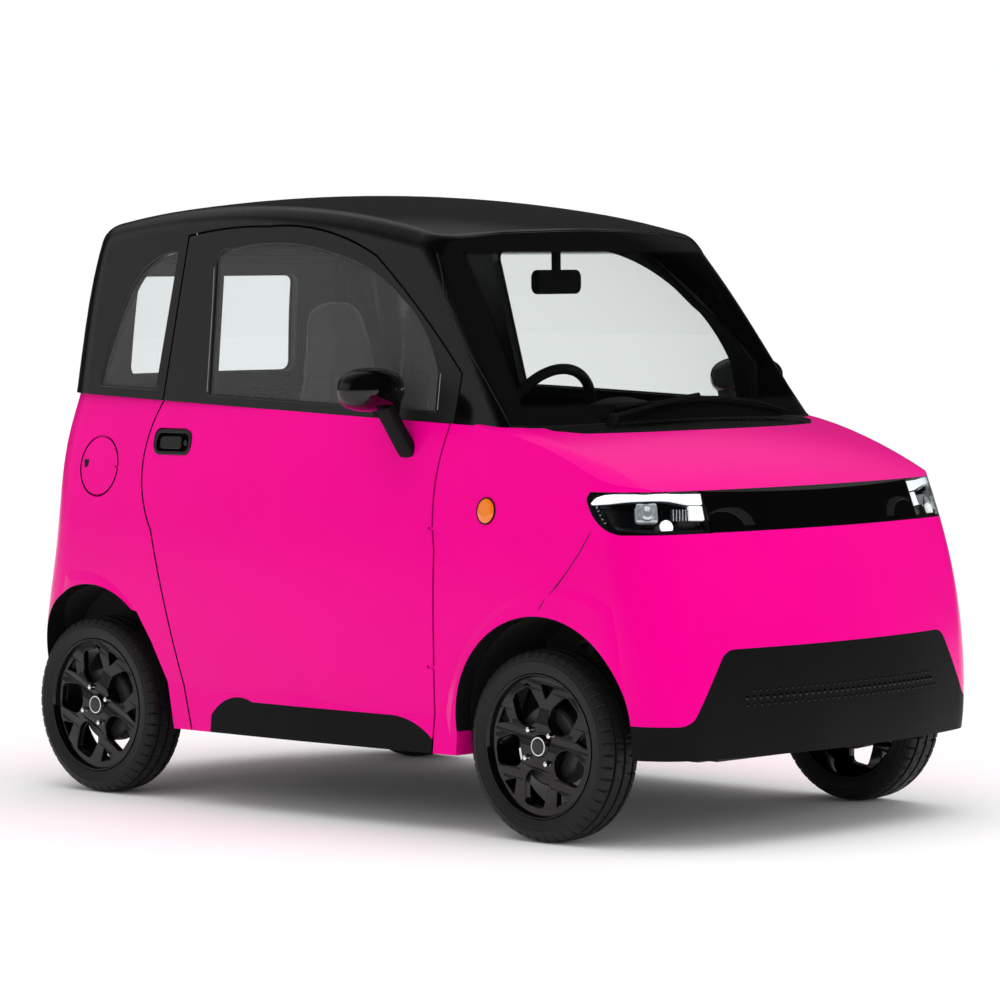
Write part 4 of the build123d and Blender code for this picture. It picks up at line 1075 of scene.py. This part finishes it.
def hood_shape(u, p):
    """The cowl over the dials: arched across, drawn down at the far end."""
    t = (u.y + 1) / 2
    return (p.x * (0.86 + 0.14 * t), p.y, p.z + 0.030 * (1 - u.x ** 2) * (0.35 + 0.65 * t) - 0.010 * (1 - t))


hood = block_form("dial_hood", (0.300, 0.190, 0.022), (STEER[0], -0.345, 1.064), 9, hood_shape)
piece("dial_hood", hood, CABIN, "body", "cabin_plastic", 50)
piece("dials", moved(rounded_box("dials", (0.235, 0.010, 0.068), 0.010), at(STEER[0], -0.262, 1.047)),
      GLOSS_BLACK, "body", "gloss_black")
piece("middle_screen", moved(rounded_box("screen", (0.215, 0.014, 0.125), 0.008),
                             at(0.0, -0.252, 0.985) @ turned(-8, "X")), GLOSS_BLACK, "body", "gloss_black")


def air_vent(x):
    """A frame with five slats across it."""
    made = [
        moved(rounded_box("slat", (0.090, 0.014, 0.004), 0.0012, 1), at(x, -0.243, 0.975 + 0.011 * k))
        for k in range(5)
    ]
    edges = [box_outline(0.104, 0.064, 0.012, 0.004), box_outline(0.090, 0.052, 0.008, 0.004)]
    frame_plate = plate("vent", edges, 0.006, 0.002)
    return join("vent", [*made, moved(frame_plate, at(x, -0.243, 0.997) @ turned(90, "X"))])


piece("air_vents", join("vents", [air_vent(x) for x in (-0.50, -0.165, 0.135, 0.50)]), TRIM, "body",
      "cabin_plastic")
piece("glove_lid", moved(rounded_box("lid", (0.36, 0.014, 0.150), 0.012),
                         at(-0.30, -0.302, 0.880) @ turned(-38, "X")), CABIN, "body", "cabin_plastic")
tunnel = block_form("tunnel", (0.130, 0.60, 0.150), (0.0, 0.02, 0.460), 6, lambda u, p: (
    p.x * (1 - 0.12 * (u.z + 1) / 2), p.y, p.z - 0.02 * smooth_step(-u.y * 2 - 0.6)))
piece("middle_console", tunnel, CABIN, "body", "cabin_plastic", 50)
SELECTOR = ((-0.020, 0.0), (-0.020, 0.024), (-0.016, 0.030), (0.004, 0.031), (0.006, 0.035), (0.012, 0.036))
piece("selector", moved(lathe("selector", SELECTOR, 36, closed=False), at(0, -0.09, 0.545) @ turned(90, "Y")),
      CHROME, "body", "alloy")
piece("handbrake", pipe("handbrake", [(0.0, 0.10, 0.525), (0.0, 0.04, 0.560), (0.0, -0.02, 0.590)], 0.011),
      CABIN, "body", "cabin_plastic")
pedals = []
for x, wide in ((0.20, 0.050), (0.30, 0.075)):
    pad = rounded_box("pad", (wide, 0.012, 0.070), 0.004, 2)
    pedals.append(moved(pad, at(x, -0.425, 0.40) @ turned(-30, "X")))
    pedals.append(pipe("arm", [(x, -0.425, 0.42), (x, -0.455, 0.52), (x, -0.50, 0.60)], 0.007))
piece("pedals", join("pedals", pedals), STEEL, "body", "steel")
for label, size, place in (("floor_mat", (1.18, 1.06, 0.012), (0, 0.045, 0.242)),
                           ("load_mat", (0.92, 0.50, 0.012), (0, 0.875, 0.389))):
    piece(label, block_form(label, size, place, 5), PIPING, "body", "upholstery")

# cabin mirror glass, facing the driver
low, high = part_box("cabin_mirror")
MIRROR_GLASS_UP, MIRROR_GLASS_OUT = 0.033, 0.0005
mirror_mid = at((low[0] + high[0]) / 2, high[1] + MIRROR_GLASS_OUT, low[2] + MIRROR_GLASS_UP)
piece("cabin_mirror_glass", moved(rounded_box("mirror_glass", (0.152, 0.004, 0.050), 0.0018, 2), mirror_mid),
      CHROME, "body", "alloy")


# ---- window seals --------------------------------------------------------------------------------
def rim_loop(node, out, least=0.3):
    """The outline of a node's outer skin as points in order."""
    skin = skin_patch(node, Vector(out), least)
    bm = bmesh.new()
    bm.from_mesh(skin)
    edges = dict.fromkeys(e for e in bm.edges if e.is_boundary)  # kept in order, so each run starts alike
    loops = []
    while edges:
        edge = next(iter(edges))
        del edges[edge]
        start, here = edge.verts
        line = [start.co.copy(), here.co.copy()]
        while here is not start:
            after = next((e for e in here.link_edges if e in edges), None)
            if after is None:
                break
            del edges[after]
            here = after.other_vert(here)
            line.append(here.co.copy())
        loops.append(line[:-1] if (line[0] - line[-1]).length < 1e-6 else line)
    bm.free()
    bpy.data.meshes.remove(skin)
    return max(loops, key=lambda line: sum((a - b).length for a, b in zip(line, line[1:])))


SEAL = material("window_seal", (0.006, 0.006, 0.006), 0.28, scale=500, bump=0.1, specular=0.5)
for node, out, body in (
    ("windscreen", (0, -0.8, 0.6), "body"), ("tailgate_glass", (0, 1, 0.1), "tailgate"),
    ("door_glass_right", (-1, 0, 0.1), "door_right"), ("door_glass_left", (1, 0, 0.1), "door_left"),
    ("quarter_glass_right", (-1, 0, 0.1), "body"), ("quarter_glass_left", (1, 0, 0.1), "body"),
):
    seal = pipe("seal", rim_loop(node, out), 0.0045, False, 2, closed=True)
    piece(f"{node}_seal", seal, SEAL, body, "black_trim", 60)


# ---- door mirrors --------------------------------------------------------------------------------
def egg(name, half, power, level=4):
    """A rounded form between an ellipsoid and a box."""
    bm = bmesh.new()
    bmesh.ops.create_icosphere(bm, subdivisions=level, radius=1.0)
    for v in bm.verts:
        v.co = Vector([math.copysign(abs(c) ** power * h, c) for c, h in zip(v.co, half)])
    return finished(bm, name)


def mirror_shell():
    """The glossy head, cut flat at the back and hollowed a little round its glass."""
    bm = bmesh.new()
    bm.from_mesh(egg("head", (0.113, 0.066, 0.0575), 0.82, 5))
    cut = bmesh.ops.bisect_plane(bm, geom=bm.verts[:] + bm.edges[:] + bm.faces[:], plane_co=(0, 0.036, 0),
                                 plane_no=(0, 1, 0), clear_outer=True)
    rim = [e for e in cut["geom_cut"] if isinstance(e, bmesh.types.BMEdge)]
    made = bmesh.ops.holes_fill(bm, edges=rim, sides=0)["faces"]
    bmesh.ops.inset_region(bm, faces=made, thickness=0.006, depth=0.0)
    bmesh.ops.inset_region(bm, faces=made, thickness=0.002, depth=-0.010)
    bmesh.ops.recalc_face_normals(bm, faces=bm.faces)
    return finished(bm, "mirror_head")


HEAD = at(-0.742, -0.299, 1.150) @ turned(12, "Z")
lean = Vector((-0.050, 0.011, 0.083)).normalized()
width = lean.cross(Vector((-1, 0, 0))).normalized()
LEAN = Matrix((width, lean.cross(width), lean)).transposed().to_4x4()
LEAN.translation = Vector((-0.636, -0.336, 0.975))
PANE = ((-0.090, -0.037), (0.082, -0.040), (0.090, 0.0), (0.082, 0.040), (-0.090, 0.037))
pane = plate("pane", [soft_outline(PANE, 0.030, 0.008)], 0.0018, 0.0006)
under = block_form("mirror_under", (0.086, 0.072, 0.062), (0, 0, 0), 7, lambda u, p: (
    p.x * (0.90 + 0.10 * u.z) * (1 - 0.16 * u.y ** 4) * (1 - 0.25 * max(0, -u.z - 0.5) ** 2) + 0.056,
    p.y * (0.88 + 0.12 * u.z) * (1 - 0.16 * u.x ** 4) - 0.008, p.z * (1 - 0.10 * u.x ** 4) - 0.044))
foot = block_form("mirror_foot", (0.058, 0.030, 0.172), (0, 0, 0.066), 7, lambda u, p: (
    p.x * (1 - 0.10 * (u.z + 1) / 2) * (1 - 0.12 * u.y ** 2) * (1 - 0.55 * max(0.0, -u.z - 0.55) ** 2 / 0.2),
    p.y * (1 - 0.15 * u.x ** 2), p.z))
for mesh, label, mat, slot in (
    (moved(mirror_shell(), HEAD), "mirror_head", GLOSS_BLACK, "gloss_black"),
    (moved(pane, HEAD @ at(0, 0.030, 0) @ turned(90, "X")), "mirror_pane", CHROME, "alloy"),
    (moved(under, HEAD), "mirror_under", TRIM, "black_trim"),
    (moved(foot, LEAN), "mirror_foot", TRIM, "black_trim"),
):
    for (side, _), made in zip(SIDES, both_sides(label, mesh, mat, "door_{}", slot, 50)):
        if label in ("mirror_head", "mirror_foot"):
            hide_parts(f"door_mirror_{side}")


SIDE_SKIN = tree_of("front_body", "front_bumper", "lower_bumper", "rear_bumper", "quarter_right",
                    "door_right")
LINER_SHORT_OF_SKIN = 0.022


# ---- wheel arch liners ---------------------------------------------------------------------------
def liner_mesh(y, z, radius, inner, outer, first, last):
    """A curved sheet over a wheel with its inner end closed, on the right."""
    bm = bmesh.new()
    start = Vector((0, *polar(radius, first)))
    corners = ((-outer, 1.0), (-inner, 1.0), (-inner, 0.55))
    row = [bm.verts.new((x, start.y * k, start.z * k)) for x, k in corners]
    line = [bm.edges.new(pair) for pair in zip(row, row[1:])]
    swept(bm, row, line, math.radians(last - first), 36, False)
    bmesh.ops.remove_doubles(bm, verts=bm.verts, dist=1e-5)
    for v in bm.verts:
        if v.co.x < -outer + 0.001:
            hit = from_side(SIDE_SKIN, v.co.y + y, v.co.z + z)
            on_body = hit is not None and hit.x < -inner - 0.03
            v.co.x = max(v.co.x, hit.x + LINER_SHORT_OF_SKIN) if on_body else -inner - 0.01
    bmesh.ops.recalc_face_normals(bm, faces=bm.faces)
    bmesh.ops.solidify(bm, geom=bm.faces[:], thickness=0.002)
    bmesh.ops.recalc_face_normals(bm, faces=bm.faces)
    bm.transform(at(0, y, z))
    return finished(bm, "liner")


for label, y, z, radius, inner in (("front_liner", FRONT_AXLE, 0.293, 0.2875, 0.405),
                                   ("rear_liner", REAR_AXLE, 0.299, 0.2895, 0.505)):
    both_sides(label, liner_mesh(y, z, radius, inner, 0.640, -8, 188), LINER, "body", "black_trim")

# ---- wiper and cowl ------------------------------------------------------------------------------
SCREEN = tree_of("windscreen", "cowl", "front_body")


def on_screen(points, lift, tree=SCREEN, out=Vector((0, -0.8, 0.6))):
    """Points snapped to a surface and stood off from it."""
    places = [nearest(tree, p, out) for p in points]
    return [spot + normal * lift for spot, normal in places]


PIVOT = Vector((-0.3053, -0.7455, 1.0535))
PIVOT_CAP = ((-0.030, 0.0), (-0.030, 0.010), (-0.026, 0.0135), (-0.010, 0.015), (0.004, 0.017))
cap = lathe("pivot", PIVOT_CAP, 28, closed=False)
cap.transform(Vector((-1, 0, 0)).rotation_difference(Vector((0, -0.35, 0.93))).to_matrix().to_4x4())
arm = [PIVOT + Vector((0, -0.006, 0.022))] + on_screen(
    ((-0.225, -0.740, 1.075), (-0.125, -0.735, 1.092), (-0.030, -0.728, 1.102), (0.040, -0.722, 1.108)),
    0.024)
blade = ((-0.275, -0.729, 1.096), (-0.15, -0.735, 1.101), (-0.03, -0.730, 1.105), (0.10, -0.724, 1.107),
         (0.22, -0.722, 1.098), (0.33, -0.715, 1.083), (0.415, -0.708, 1.064))
wiper_arm = join("arm", [moved(cap, Matrix.Translation(PIVOT)), pipe("arm", arm, 0.0065, rings=2)])
piece("wiper_arm", wiper_arm, TRIM, "body", "black_trim", 50)
piece("wiper_spine", pipe("spine", on_screen(blade, 0.0155), 0.0052, rings=2), TRIM, "body", "black_trim", 50)
piece("wiper_rubber", pipe("rubber", on_screen(blade, 0.0068), 0.0032, rings=1), RUBBER, "body", "tyre", 50)


def louvres(tree):
    """Short ribs over the cowl, with a gap at the wiper's pivot."""
    ribs = []
    for x in (-0.440 + 0.020 * k for k in range(45)):
        ends = [tree.ray_cast(Vector((x, y, 2)), Vector((0, 0, -1)))[0] for y in (-0.790, -0.765)]
        if abs(x - PIVOT.x) >= 0.03 and None not in ends:
            ribs.append(pipe("rib", ends, 0.0022, False, 1))
    return join("ribs", ribs)


piece("cowl_louvres", louvres(tree_of("cowl")), GLOSS_BLACK, "body", "black_trim", 50)

# ---- lines on the front --------------------------------------------------------------------------
BAND = tree_of("nose_band")
FORWARD = Vector((0, -0.95, 0.3))
arc_out = ((-0.3990, -1.170, 0.842), (-0.3720, -1.172, 0.851), (-0.3350, -1.178, 0.855),
           (-0.2960, -1.186, 0.850), (-0.2720, -1.194, 0.832), (-0.2620, -1.203, 0.808))
arc_in = ((-0.3990, -1.171, 0.838), (-0.3720, -1.173, 0.845), (-0.3400, -1.180, 0.846),
          (-0.3150, -1.188, 0.833), (-0.3000, -1.194, 0.818), (-0.2950, -1.197, 0.806))
SHADED = material("band_shade", (0.012, 0.012, 0.013), 0.25, specular=0.5)
both_sides("band_arc", strip(BAND, arc_out, arc_in, -0.0012, 0.0016, FORWARD, 20), SHADED, "body",
           "gloss_black")
arc_line = pipe("line", on_screen(arc_in[1:], 0.0010, BAND, FORWARD), 0.0009, rings=1)
both_sides("band_line", arc_line, STEEL, "body", "gloss_black")

# the dark line where the bumper meets the fender
FRONT_SKIN = tree_of("front_body", "front_bumper")
SEAM_YZ = ((-0.998, 0.829), (-0.982, 0.797), (-0.960, 0.760), (-0.937, 0.727), (-0.905, 0.688),
           (-0.872, 0.650), (-0.845, 0.622), (-0.828, 0.598))
side_points = [p for p in (from_side(FRONT_SKIN, y, z) for y, z in SEAM_YZ) if p is not None]
both_sides("bumper_seam", pipe("seam", side_points, 0.0014, rings=1), LINER, "body", "black_trim")

# ---- inside the doors ----------------------------------------------------------------------------
rest = block_form("armrest", (0.055, 0.42, 0.050), (-0.612, 0.12, 0.735), 5, lambda u, p: (
    p.x * (1 - 0.25 * u.y ** 4), p.y, p.z * (1 - 0.2 * u.x ** 2) + 0.012 * u.y ** 2))
both_sides("armrest", rest, CABIN, "door_{}", "cabin_plastic", 50)
pocket = block_form("door_pocket", (0.060, 0.56, 0.150), (-0.612, 0.00, 0.470), 5, lambda u, p: (
    p.x * (0.75 + 0.25 * u.z), p.y * (1 - 0.04 * u.z), p.z))
both_sides("door_pocket", pocket, CABIN, "door_{}", "cabin_plastic", 50)
PULL = ((-0.622, -0.17, 0.800), (-0.598, -0.15, 0.802), (-0.594, -0.06, 0.806), (-0.598, 0.03, 0.810),
        (-0.622, 0.05, 0.812))
both_sides("door_pull", pipe("pull", PULL, 0.010), TRIM, "door_{}", "cabin_plastic", 50)
SPEAKER = ((0.0, 0.0), (0.004, 0.010), (0.004, 0.060), (0.0, 0.070), (-0.012, 0.072))
speaker = moved(lathe("speaker", SPEAKER, 40, closed=False), at(-0.634, -0.30, 0.560))
both_sides("door_speaker", speaker, TRIM, "door_{}", "cabin_plastic", 50)

# ---- rear end ------------------------------------------------------------------------------------
TAIL_TREE, REAR_TREE = tree_of("tailgate"), tree_of("rear_bumper", "quarter_right", "quarter_left")
ROOF_TREE = tree_of("roof")
PLATE_Z, GRIP_Z, REFLECTOR_Z = 0.735, 0.835, 0.455


def on_back(mesh, x, z, depth=0.0, tree=TAIL_TREE):
    """Sets a flat plate (local Z outwards, local Y up) on the rear skin."""
    spot, normal, _, _ = tree.ray_cast(Vector((x, 3, z)), Vector((0, -1, 0)))
    return moved(mesh, on_skin(spot, facing(normal, Vector((0, 1, 0))), depth))


for label, outline, half, soft, z, depth, mat, slot in (
    ("plate_holder", box_outline(0.345, 0.135, 0.012), 0.006, 0.002, PLATE_Z, -0.002, TRIM, "black_trim"),
    ("blank_plate", box_outline(0.320, 0.110, 0.008), 0.0015, 0.0005, PLATE_Z, -0.0092, PALE, "alloy"),
    ("tailgate_grip", box_outline(0.300, 0.034, 0.014), 0.010, 0.004, GRIP_Z, -0.004, GLOSS_BLACK,
     "gloss_black"),
):
    piece(label, on_back(plate(label, [outline], half, soft), 0, z, depth), mat, "tailgate", slot)
plate_lamps = [on_back(rounded_box("lamp", (0.034, 0.008, 0.012), 0.002, 2), x, 0.814, -0.006)
               for x in (-0.09, 0.09)]
piece("plate_lamps", join("lamps", plate_lamps), PALE, "tailgate", "alloy")
high_lamp = plate("bar", [box_outline(0.200, 0.014, 0.005)], 0.003, 0.001)
piece("high_brake_lamp", on_back(high_lamp, 0, 1.507, 0.0005, ROOF_TREE), RED, "body", "red_lens")
for side, sign in SIDES:
    place = (0.40 * sign, REFLECTOR_Z, 0.0, REAR_TREE)
    reflector = plate("reflector", [box_outline(0.085, 0.030, 0.008)], 0.0035, 0.0012)
    piece(f"rear_reflector_{side}", on_back(reflector, *place), RED, "body", "red_lens")
    rim = plate("rim", [box_outline(0.097, 0.042, 0.011), box_outline(0.087, 0.032, 0.009)], 0.0035, 0.0012)
    piece(f"reflector_rim_{side}", on_back(rim, *place), TRIM, "body", "black_trim")


def tail_lamp(side, sign):
    """A dark rim round a tail lamp and three bars across it."""
    out = Vector((sign * 0.5, 0.86, 0))
    loop = rim_loop(f"tail_lamp_{side}", out, 0.3)
    rim = pipe("rim", loop, 0.0035, False, 2, closed=True)
    piece(f"tail_lamp_rim_{side}", rim, GLOSS_BLACK, "body", "gloss_black", 60)
    low, high = min(p.z for p in loop), max(p.z for p in loop)
    lamp_tree = tree_of(f"tail_lamp_{side}")
    bars = []
    for share in (0.30, 0.52, 0.74):
        z = low + (high - low) * share
        level = sorted(loop, key=lambda p: abs(p.z - z))[:6]
        a, b = min(level, key=lambda p: p.y), max(level, key=lambda p: p.y)
        line = on_screen([a.lerp(b, t) for t in np.linspace(0.18, 0.82, 6)], 0.0006, lamp_tree, out)
        bars.append(pipe("bar", [(p.x, p.y, z) for p in line], 0.0016, False, 1))
    piece(f"tail_lamp_bars_{side}", join("bars", bars), RED, "body", "red_lens", 60)


for side, sign in SIDES:
    tail_lamp(side, sign)

# flap lock and seat belts
spot = from_side(tree_of("charge_flap"), 0.948, 0.917) + Vector((0.0012, 0, 0))
notch = moved(rounded_box("notch", (0.004, 0.018, 0.034), 0.0018), Matrix.Translation(spot))
piece("flap_notch", notch, LINER, "charge_flap", "black_trim")
BELT_AT = 0.650
belts = []
for sign in (-1, 1):
    belts.append(block_form("web", (0.0035, 0.046, 0.66), (sign * 0.575, BELT_AT, 0.900), 5))
    guide = rounded_box("guide", (0.022, 0.056, 0.046), 0.008)
    belts.append(moved(guide, at(sign * 0.572, BELT_AT, 1.235)))
piece("seat_belts", join("belts", belts), TRIM, "body", "cabin_plastic", 50)

# rubber seals behind the running gaps of the doors and the tailgate
DOOR_EDGE = (
    (-0.449, 0.900), (-0.470, 1.000), (-0.476, 1.066), (-0.482, 1.190), (-0.400, 1.290), (-0.302, 1.358),
    (-0.215, 1.430), (-0.127, 1.497), (-0.030, 1.535), (0.060, 1.562), (0.180, 1.576), (0.300, 1.580),
    (0.390, 1.579), (0.480, 1.575), (0.560, 1.567), (0.621, 1.557), (0.631, 1.335), (0.640, 1.112),
    (0.668, 0.950),
)  # y and z
GASKET_R, AROUND = 0.011, ((0.012, 0), (-0.012, 0), (0, 0.012), (0, -0.012))


def door_gasket():
    """A round seal behind the door's edge, as deep as the outermost skin beside each point asks."""
    outer, line = tree_of("door_right", "roof", "quarter_right", "front_body"), []
    for y, z in DOOR_EDGE:
        hits = [from_side(outer, y + dy, z + dz) for dy, dz in AROUND]
        reach = min((hit.x for hit in hits if hit is not None), default=0.0)
        if reach < 0:
            line.append((reach + (0.046 if z > 1.12 else 0.060), y, z))
    return pipe("gasket", line, GASKET_R, False, 2)


def tailgate_gasket():
    """A round seal across the body under the tailgate's top edge."""
    line = []
    for x in np.linspace(-0.425, 0.425, 19):
        hit = ROOF_TREE.ray_cast(Vector((x, 3, 1.500)), Vector((0, -1, 0)))[0]
        if hit is not None:
            line.append((x, hit.y - 0.044, 1.490))
    return pipe("gasket", line, GASKET_R, rings=2)


both_sides("door_gasket", door_gasket(), LINER, "body", "black_trim", 60)
piece("tailgate_gasket", tailgate_gasket(), LINER, "body", "black_trim", 60)

# lips of the door window's channel, in a light grey that is painted highlight: it stands in for the glints
# along the dark seal
LIP_PAINTED_GLINT = material("channel_lip_painted_glint", (0.22, 0.225, 0.23), 0.25, specular=0.6)
SKIN = tree_of("door_right", "door_glass_right")
for label, shift, line in (
    ("rear", 0.007, ((0.492, 1.470), (0.480, 1.380), (0.462, 1.200), (0.455, 1.130))),
    ("front", -0.007, ((-0.400, 1.190), (-0.403, 1.140), (-0.405, 1.095))),
):
    spots = [p for p in (from_side(SKIN, y + shift, z) for y, z in line) if p is not None]
    # the light grey of these lips is painted highlight
    both_sides(f"window_lip_{label}", pipe("lip", spots, 0.0016, rings=1), LIP_PAINTED_GLINT, "door_{}", "black_trim", 60)

# running gear seen through the arches: struts and springs
gear = []
for sign in (-1, 1):
    for y, z_top, x_in in ((FRONT_AXLE, 0.56, 0.470), (REAR_AXLE, 0.55, 0.440)):
        x = sign * x_in
        gear.append(pipe("strut", [(x, y, 0.300), (x - sign * 0.02, y, z_top)], 0.018, False, 3))
        coil = [
            (x - sign * 0.012 + 0.036 * math.cos(a), y + 0.036 * math.sin(a), 0.37 + 0.017 * a / 2)
            for a in np.linspace(0, 6 * math.pi, 73)
        ]
        gear.append(pipe("spring", coil, 0.0055, True, 2))
piece("struts", join("gear", gear), STEEL, "body", "steel", 50)

# ---- stage, light and camera ---------------------------------------------------------------------
FLOOR_GLOW, WORLD_LEVEL = 0.004, 0.64


def studio_floor():
    """A pale matt floor that the camera sees a little brighter, so that it reads as paper."""
    bm = bmesh.new()
    bmesh.ops.create_grid(bm, x_segments=1, y_segments=1, size=60.0)
    mesh = finished(bm, "studio_floor")
    mat = bpy.data.materials.new("floor_pale")
    mat.use_nodes = True
    n, link = mat.node_tree.nodes, mat.node_tree.links.new
    shader = n["Principled BSDF"]
    for label, value in (("Base Color", (0.96, 0.96, 0.96, 1)), ("Roughness", 1.0),
                         ("Specular IOR Level", 0.0)):
        shader.inputs[label].default_value = value
    path, glow, mix = n.new("ShaderNodeLightPath"), n.new("ShaderNodeEmission"), n.new("ShaderNodeAddShader")
    glow.inputs["Color"].default_value = (1, 1, 1, 1)
    glow_level = calculator(mat.node_tree)("MULTIPLY", path.outputs["Is Camera Ray"], FLOOR_GLOW)
    link(glow_level, glow.inputs["Strength"])
    link(shader.outputs[0], mix.inputs[0])
    link(glow.outputs[0], mix.inputs[1])
    link(mix.outputs[0], n["Material Output"].inputs["Surface"])
    mesh.materials.append(mat)
    floor = bpy.data.objects.new("studio_floor", mesh)
    bpy.context.scene.collection.objects.link(floor)


def studio_world():
    """White to the camera and through glass, even light on surfaces, a darker room in reflections."""
    world = bpy.data.worlds.new("studio")
    bpy.context.scene.world = world
    world.use_nodes = True
    n, link, calc = world.node_tree.nodes, world.node_tree.links.new, calculator(world.node_tree)
    parts = dict(zip("XYZ", parts_of(world.node_tree, n.new("ShaderNodeTexCoord").outputs["Generated"])))

    def ranged(value, before, after):
        """A value moved from one range to another."""
        node = n.new("ShaderNodeMapRange")
        for label, pair in (("From", before), ("To", after)):
            node.inputs[f"{label} Min"].default_value, node.inputs[f"{label} Max"].default_value = pair
        link(value, node.inputs["Value"])
        return node.outputs[0]

    def mixed(share, a, b):
        """A level between a and b."""
        node = n.new("ShaderNodeMix")
        for socket, value in zip((node.inputs[0], node.inputs[2], node.inputs[3]), (share, a, b)):
            link(value, socket)
        return node.outputs[0]

    def sky(*levels):
        """A level that changes with height in the room."""
        ramp = n.new("ShaderNodeValToRGB")
        stops(ramp, *((spot, (value, value, value)) for spot, value in levels))
        link(parts["Z"], ramp.inputs["Fac"])
        return ramp.outputs["Color"]

    rays = n.new("ShaderNodeLightPath")
    seen = calc("MAXIMUM", rays.outputs["Is Camera Ray"], rays.outputs["Is Transmission Ray"])
    level = ranged(seen, (0.0, 1.0), (WORLD_LEVEL, 1.0))
    # a pale wall beside the car, a softbox high behind it, dark towards the front
    wall = sky((0.0, 0.25), (0.08, 0.50), (0.45, 0.55), (0.62, 0.15), (1.0, 0.05))
    softbox = sky((0.0, 0.03), (0.12, 0.02), (0.36, 0.04), (0.50, 0.25), (0.64, 0.45), (0.84, 0.2),
                  (1.0, 0.1))
    halves = mixed(ranged(parts["X"], (-0.10, -0.40), (0.0, 1.0)), softbox, wall)
    room = calc("MULTIPLY_ADD", ranged(parts["Y"], (0.05, 0.35), (0.0, 1.0)), halves, 0.012)
    back = n["Background"]
    link(mixed(rays.outputs["Is Glossy Ray"], level, room), back.inputs["Strength"])
    back.inputs["Color"].default_value = (1, 1, 1, 1)


def lamp(name, where, aim, size, power):
    """A rectangular lamp that reflections don't show."""
    data = bpy.data.lights.new(name, "AREA")
    data.shape, data.size, data.size_y, data.energy = "RECTANGLE", size[0], size[1], power
    obj = bpy.data.objects.new(name, data)
    bpy.context.scene.collection.objects.link(obj)
    obj.location = where
    obj.rotation_euler = (Vector(aim) - Vector(where)).to_track_quat("-Z", "Y").to_euler()
    obj.visible_glossy = False
    return obj


studio_floor()
studio_world()
sun = lamp("overhead", (0, 0, 8), (0, 0, 0), (1, 1), 0)
sun.data.type = "SUN"
sun.data.energy, sun.data.angle = 1.35, math.radians(70)
lamp("front_softbox", (1.5, -7.0, 2.6), (0, -0.5, 0.7), (4, 3), 70)
lamp("side_softbox", (-6.5, -2.0, 2.6), (0, 0, 0.8), (4, 3), 45)

AZIMUTH, ELEVATION, ROLL = (math.radians(v) for v in (-45.737, 2.977, -0.401))
FOCAL_PX, PICTURE_PX, SENSOR_MM = 4570.671, 1000.0, 36.0
CAMERA_AT = (-9.021433, -8.835, 1.47833)
camera = bpy.data.objects.new("photo_camera", bpy.data.cameras.new("photo_camera"))
bpy.context.scene.collection.objects.link(camera)
bpy.context.scene.camera = camera
camera.data.sensor_width = SENSOR_MM
camera.data.lens = FOCAL_PX * SENSOR_MM / PICTURE_PX
back_axis = Vector((math.sin(AZIMUTH) * math.cos(ELEVATION), -math.cos(AZIMUTH) * math.cos(ELEVATION),
                    math.sin(ELEVATION)))
right_axis = Vector((math.cos(AZIMUTH), math.sin(AZIMUTH), 0))
up_axis = back_axis.cross(right_axis)
rolled_right = right_axis * math.cos(ROLL) + up_axis * math.sin(ROLL)
rolled_up = up_axis * math.cos(ROLL) - right_axis * math.sin(ROLL)
turn = Matrix((rolled_right, rolled_up, back_axis)).transposed()
camera.matrix_world = Matrix.Translation(CAMERA_AT) @ turn.to_4x4()
camera.data.clip_end = 200.0
bpy.context.scene.view_settings.view_transform = "Standard"
